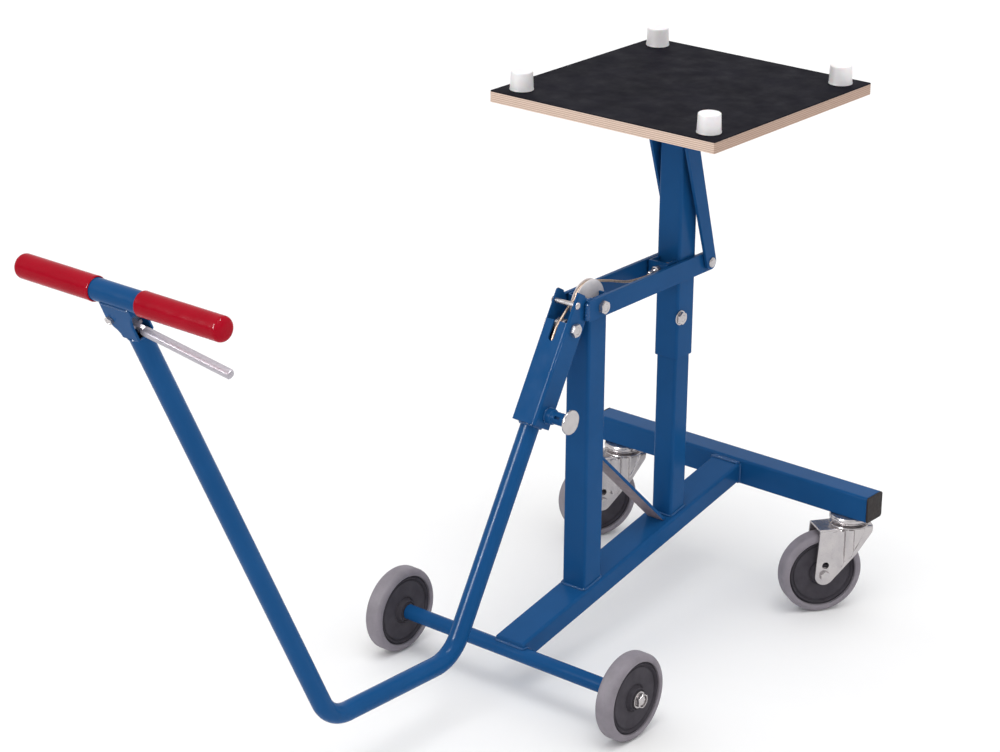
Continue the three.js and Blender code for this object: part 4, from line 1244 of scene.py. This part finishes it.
def build_hand_lever():
    start, end, height, width = (9, -48), (137, -77.5), 10, 11
    drop = math.degrees(math.atan2(start[1] - end[1], end[0] - start[0]))
    length = math.hypot(end[0] - start[0], end[1] - start[1])
    half, soft = height / 2, 2.5
    tip = arc((length - soft, -half + soft), soft, 270, 360, 6)
    tip += arc((length - soft, half - soft), soft, 0, 90, 6)
    outline = [*arc((half, 0), half, 90, 270, 16), *tip]
    place = moved(start[0], 0, start[1]) @ turned(drop, "Y")
    bar = placed(placed(plate(outline, -width / 2, width / 2, 3.4), XZ_Y), place)
    trough = block((9, length - 2), (-width / 2 + 1.5, width / 2 - 1.5), (-half - 1, half - 1.8))
    piece("squeeze_lever", bar, "hand_lever", "bare_alloy", ["hand_lever"], [placed(trough, place)], 0.35,
          HANDLE_PLACE)
    tongue = [*arc(LEVER_PIVOT, 7, 90, 250, 16), (15, -53), (15, -44)]
    tongue = placed(plate(tongue, -3, 3, 0.8), XZ_Y)
    anchor = placed(rod(3, -8, 8, 0.5), moved(3, 0, -42.5) @ ALONG_Y)
    bore = placed(lathe([(4.3, -20), (4.3, 20)], 40), moved(LEVER_PIVOT[0], 0, LEVER_PIVOT[1]) @ ALONG_Y)
    piece("lever_tongue", merged(tongue, anchor), "hand_lever", "bare_alloy", (), [bore],
          matrix=HANDLE_PLACE)


# ---------------------------------------------------------------- release cable

SHEAVE_RING = 31
STRANDS = 7


def strand_section(radius, lobes=STRANDS, points=5):
    """The outline of a stranded cable: one shallow lobe for each outer strand."""
    angles = np.linspace(0, 2 * math.pi, lobes * points, endpoint=False)
    reach = radius * (0.9 + 0.1 * np.abs(np.cos(angles * lobes / 2)))
    return list(zip(reach * np.cos(angles), reach * np.sin(angles)))


def on_sheave(degrees, radius=SHEAVE_RING):
    a = math.radians(degrees)
    return Vector((0, PIVOT[1] + radius * math.cos(a), PIVOT[2] + radius * math.sin(a)))


def cable(name, line, radius, body, replaces):
    points, ways = [p for p, _ in line], [d for _, d in line]
    shape = along(points, ways, strand_section(radius), twist=2 * math.pi / 22)
    return piece(name, shape, body, "steel_cable", replaces)


def build_cables():
    head = [HANDLE @ Vector((3, 0, -52.5)), HANDLE @ Vector((0.5, 0, -85))]
    hidden = drawbar_line(head[1])[:-1]
    up_socket = [(0, 14), (-1, 45), (-6, 92), (-14.6, 124), (-15.4, 135), (-14, 148), (-3.5, 176)]
    route = [SOCKET @ Vector((0, y, z)) for y, z in up_socket]
    route += [on_sheave(a) for a in (155, 140, 125, 110, 95.6)]
    line = [(head[0], (head[1] - head[0]).normalized()), *hidden, *smooth_line(route, 1.4)]
    cable("cable_in_lever", line, 2.0, "lever", ["release_cable"])
    off = [on_sheave(a) for a in (128, 117, 106, 95, 88, 80, 72)]
    to_lock = [Vector((0, y, z)) for y, z in ((210, 553), (252, 540.5), (292, 536.5), (313.6, 538.7))]
    made = cable("cable_to_lock", smooth_line(off + to_lock, 1.4), 1.9, None, ["release_cable_span"])
    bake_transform(made)
    sleeve = lathe([(2.1, 300), (3.0, 300.6), (3.2, 301.5), (3.2, 312), (2.6, 314.2)], 32)
    sleeve = placed(sleeve, moved(0, 0, to_lock[-1].z) @ ALONG_Y)
    piece("cable_end", sleeve, "lock_bolt", ZINC)


# ---------------------------------------------------------------- floor, light and camera


def build_floor():
    size = 40.0
    mesh = bpy.data.meshes.new("floor")
    corners = [(-size, -size, 0), (size, -size, 0), (size, size, 0), (-size, size, 0)]
    mesh.from_pydata(corners, [], [(0, 1, 2, 3)])
    floor = bpy.data.objects.new("floor", mesh)
    bpy.context.scene.collection.objects.link(floor)
    pale = Finish("pale_floor", Specular_IOR_Level=0.1)
    cloud = pale.between(pale.noise(3.0), 0.0, 1.0)
    pale.colour(pale.mix(cloud, (0.93, 0.93, 0.93, 1), (0.95, 0.95, 0.95, 1)))
    pale.roughness(pale.between(pale.noise(20.0), 0.75, 0.9))
    mesh.materials.append(pale.material)


def area_light(name, place, target, width, height, power, glints_only=False):
    data = bpy.data.lights.new(name, "AREA")
    data.shape = "RECTANGLE"
    data.size, data.size_y = width, height
    data.energy = power
    lamp = bpy.data.objects.new(name, data)
    lamp.location = place
    lamp.rotation_euler = (Vector(target) - Vector(place)).to_track_quat("-Z", "Y").to_euler()
    lamp.visible_diffuse = not glints_only
    bpy.context.scene.collection.objects.link(lamp)


def soft_sun(place, strength, spread):
    data = bpy.data.lights.new("sun", "SUN")
    data.energy = strength
    data.angle = math.radians(spread)
    lamp = bpy.data.objects.new("sun", data)
    lamp.rotation_euler = (-Vector(place)).to_track_quat("-Z", "Y").to_euler()
    bpy.context.scene.collection.objects.link(lamp)


def studio_world():
    """White to the camera; bright metal reflects darker upright bands near the horizon."""
    world = bpy.data.worlds.new("studio")
    world.use_nodes = True
    nodes, links = world.node_tree.nodes, world.node_tree.links

    def maths(operation, one, other=0.0):
        node = nodes.new("ShaderNodeMath")
        node.operation = operation
        for socket, value in zip(node.inputs, (one, other)):
            if isinstance(value, bpy.types.NodeSocket):
                links.new(value, socket)
            else:
                socket.default_value = value
        return node.outputs[0]

    split = nodes.new("ShaderNodeSeparateXYZ")
    links.new(nodes.new("ShaderNodeTexCoord").outputs["Generated"], split.inputs[0])
    azimuth = maths("ARCTAN2", split.outputs["Y"], split.outputs["X"])
    bands = maths("SINE", maths("MULTIPLY", azimuth, 5.0))
    bands = maths("MINIMUM", maths("MAXIMUM", maths("MULTIPLY", bands, 1.6), 0.0), 1.0)
    low = maths("MAXIMUM", maths("SUBTRACT", 1.0, maths("MULTIPLY", split.outputs["Z"], 1.7)), 0.0)
    dark = maths("MULTIPLY", bands, low)
    level = maths("SUBTRACT", 0.96, maths("MULTIPLY", dark, 0.95))
    seen = nodes.new("ShaderNodeLightPath").outputs["Is Camera Ray"]
    level = maths("MAXIMUM", level, seen)
    links.new(level, nodes["Background"].inputs["Strength"])
    nodes["Background"].inputs["Color"].default_value = (1.0, 1.0, 1.0, 1.0)
    return world


def build_lights():
    bpy.context.scene.world = studio_world()
    soft_sun((0.25, -0.3, 1.6), 0.78, 35)
    area_light("strip_left", (-0.76, -2.36, 1.75), (0, 0, 0.25), 0.8, 1.1, 215, glints_only=True)
    area_light("strip_top", (0.6, -0.4, 3.6), (0, 0, 0.4), 0.2, 1.2, 60, glints_only=True)
    bpy.context.scene.view_settings.view_transform = "Standard"


def build_camera():
    data = bpy.data.cameras.new("camera")
    data.lens = 100.45
    data.sensor_width = 36
    data.clip_end = 200
    azimuth, elevation, roll = (math.radians(x) for x in (39.17, 21.58, 0.49))
    ahead, down = math.cos(elevation), -math.sin(elevation)
    forward = Vector((-math.sin(azimuth) * ahead, math.cos(azimuth) * ahead, down))
    level = Vector((math.cos(azimuth), math.sin(azimuth), 0))
    upright = level.cross(forward)
    right = level * math.cos(roll) + upright * math.sin(roll)
    up = upright * math.cos(roll) - level * math.sin(roll)
    camera = bpy.data.objects.new("camera", data)
    camera.matrix_world = Matrix.Translation((2.1909, -2.6346, 1.8495)) @ basis(right, up, -forward)
    bpy.context.scene.collection.objects.link(camera)
    bpy.context.scene.camera = camera


build_camera()
build_spine()
build_crossbar()
build_rear_axle()
build_post_and_column()
build_brace()
build_chassis_welds()
build_rear_wheels()
build_casters()
build_lift_column()
build_platform()
build_lock()
build_arms()
build_links()
build_pivot()
build_socket()
build_socket_fittings()
build_plunger()
build_drawbar()
build_handle_tube()
build_handle_bracket()
build_hand_lever()
build_cables()
build_floor()
build_lights()
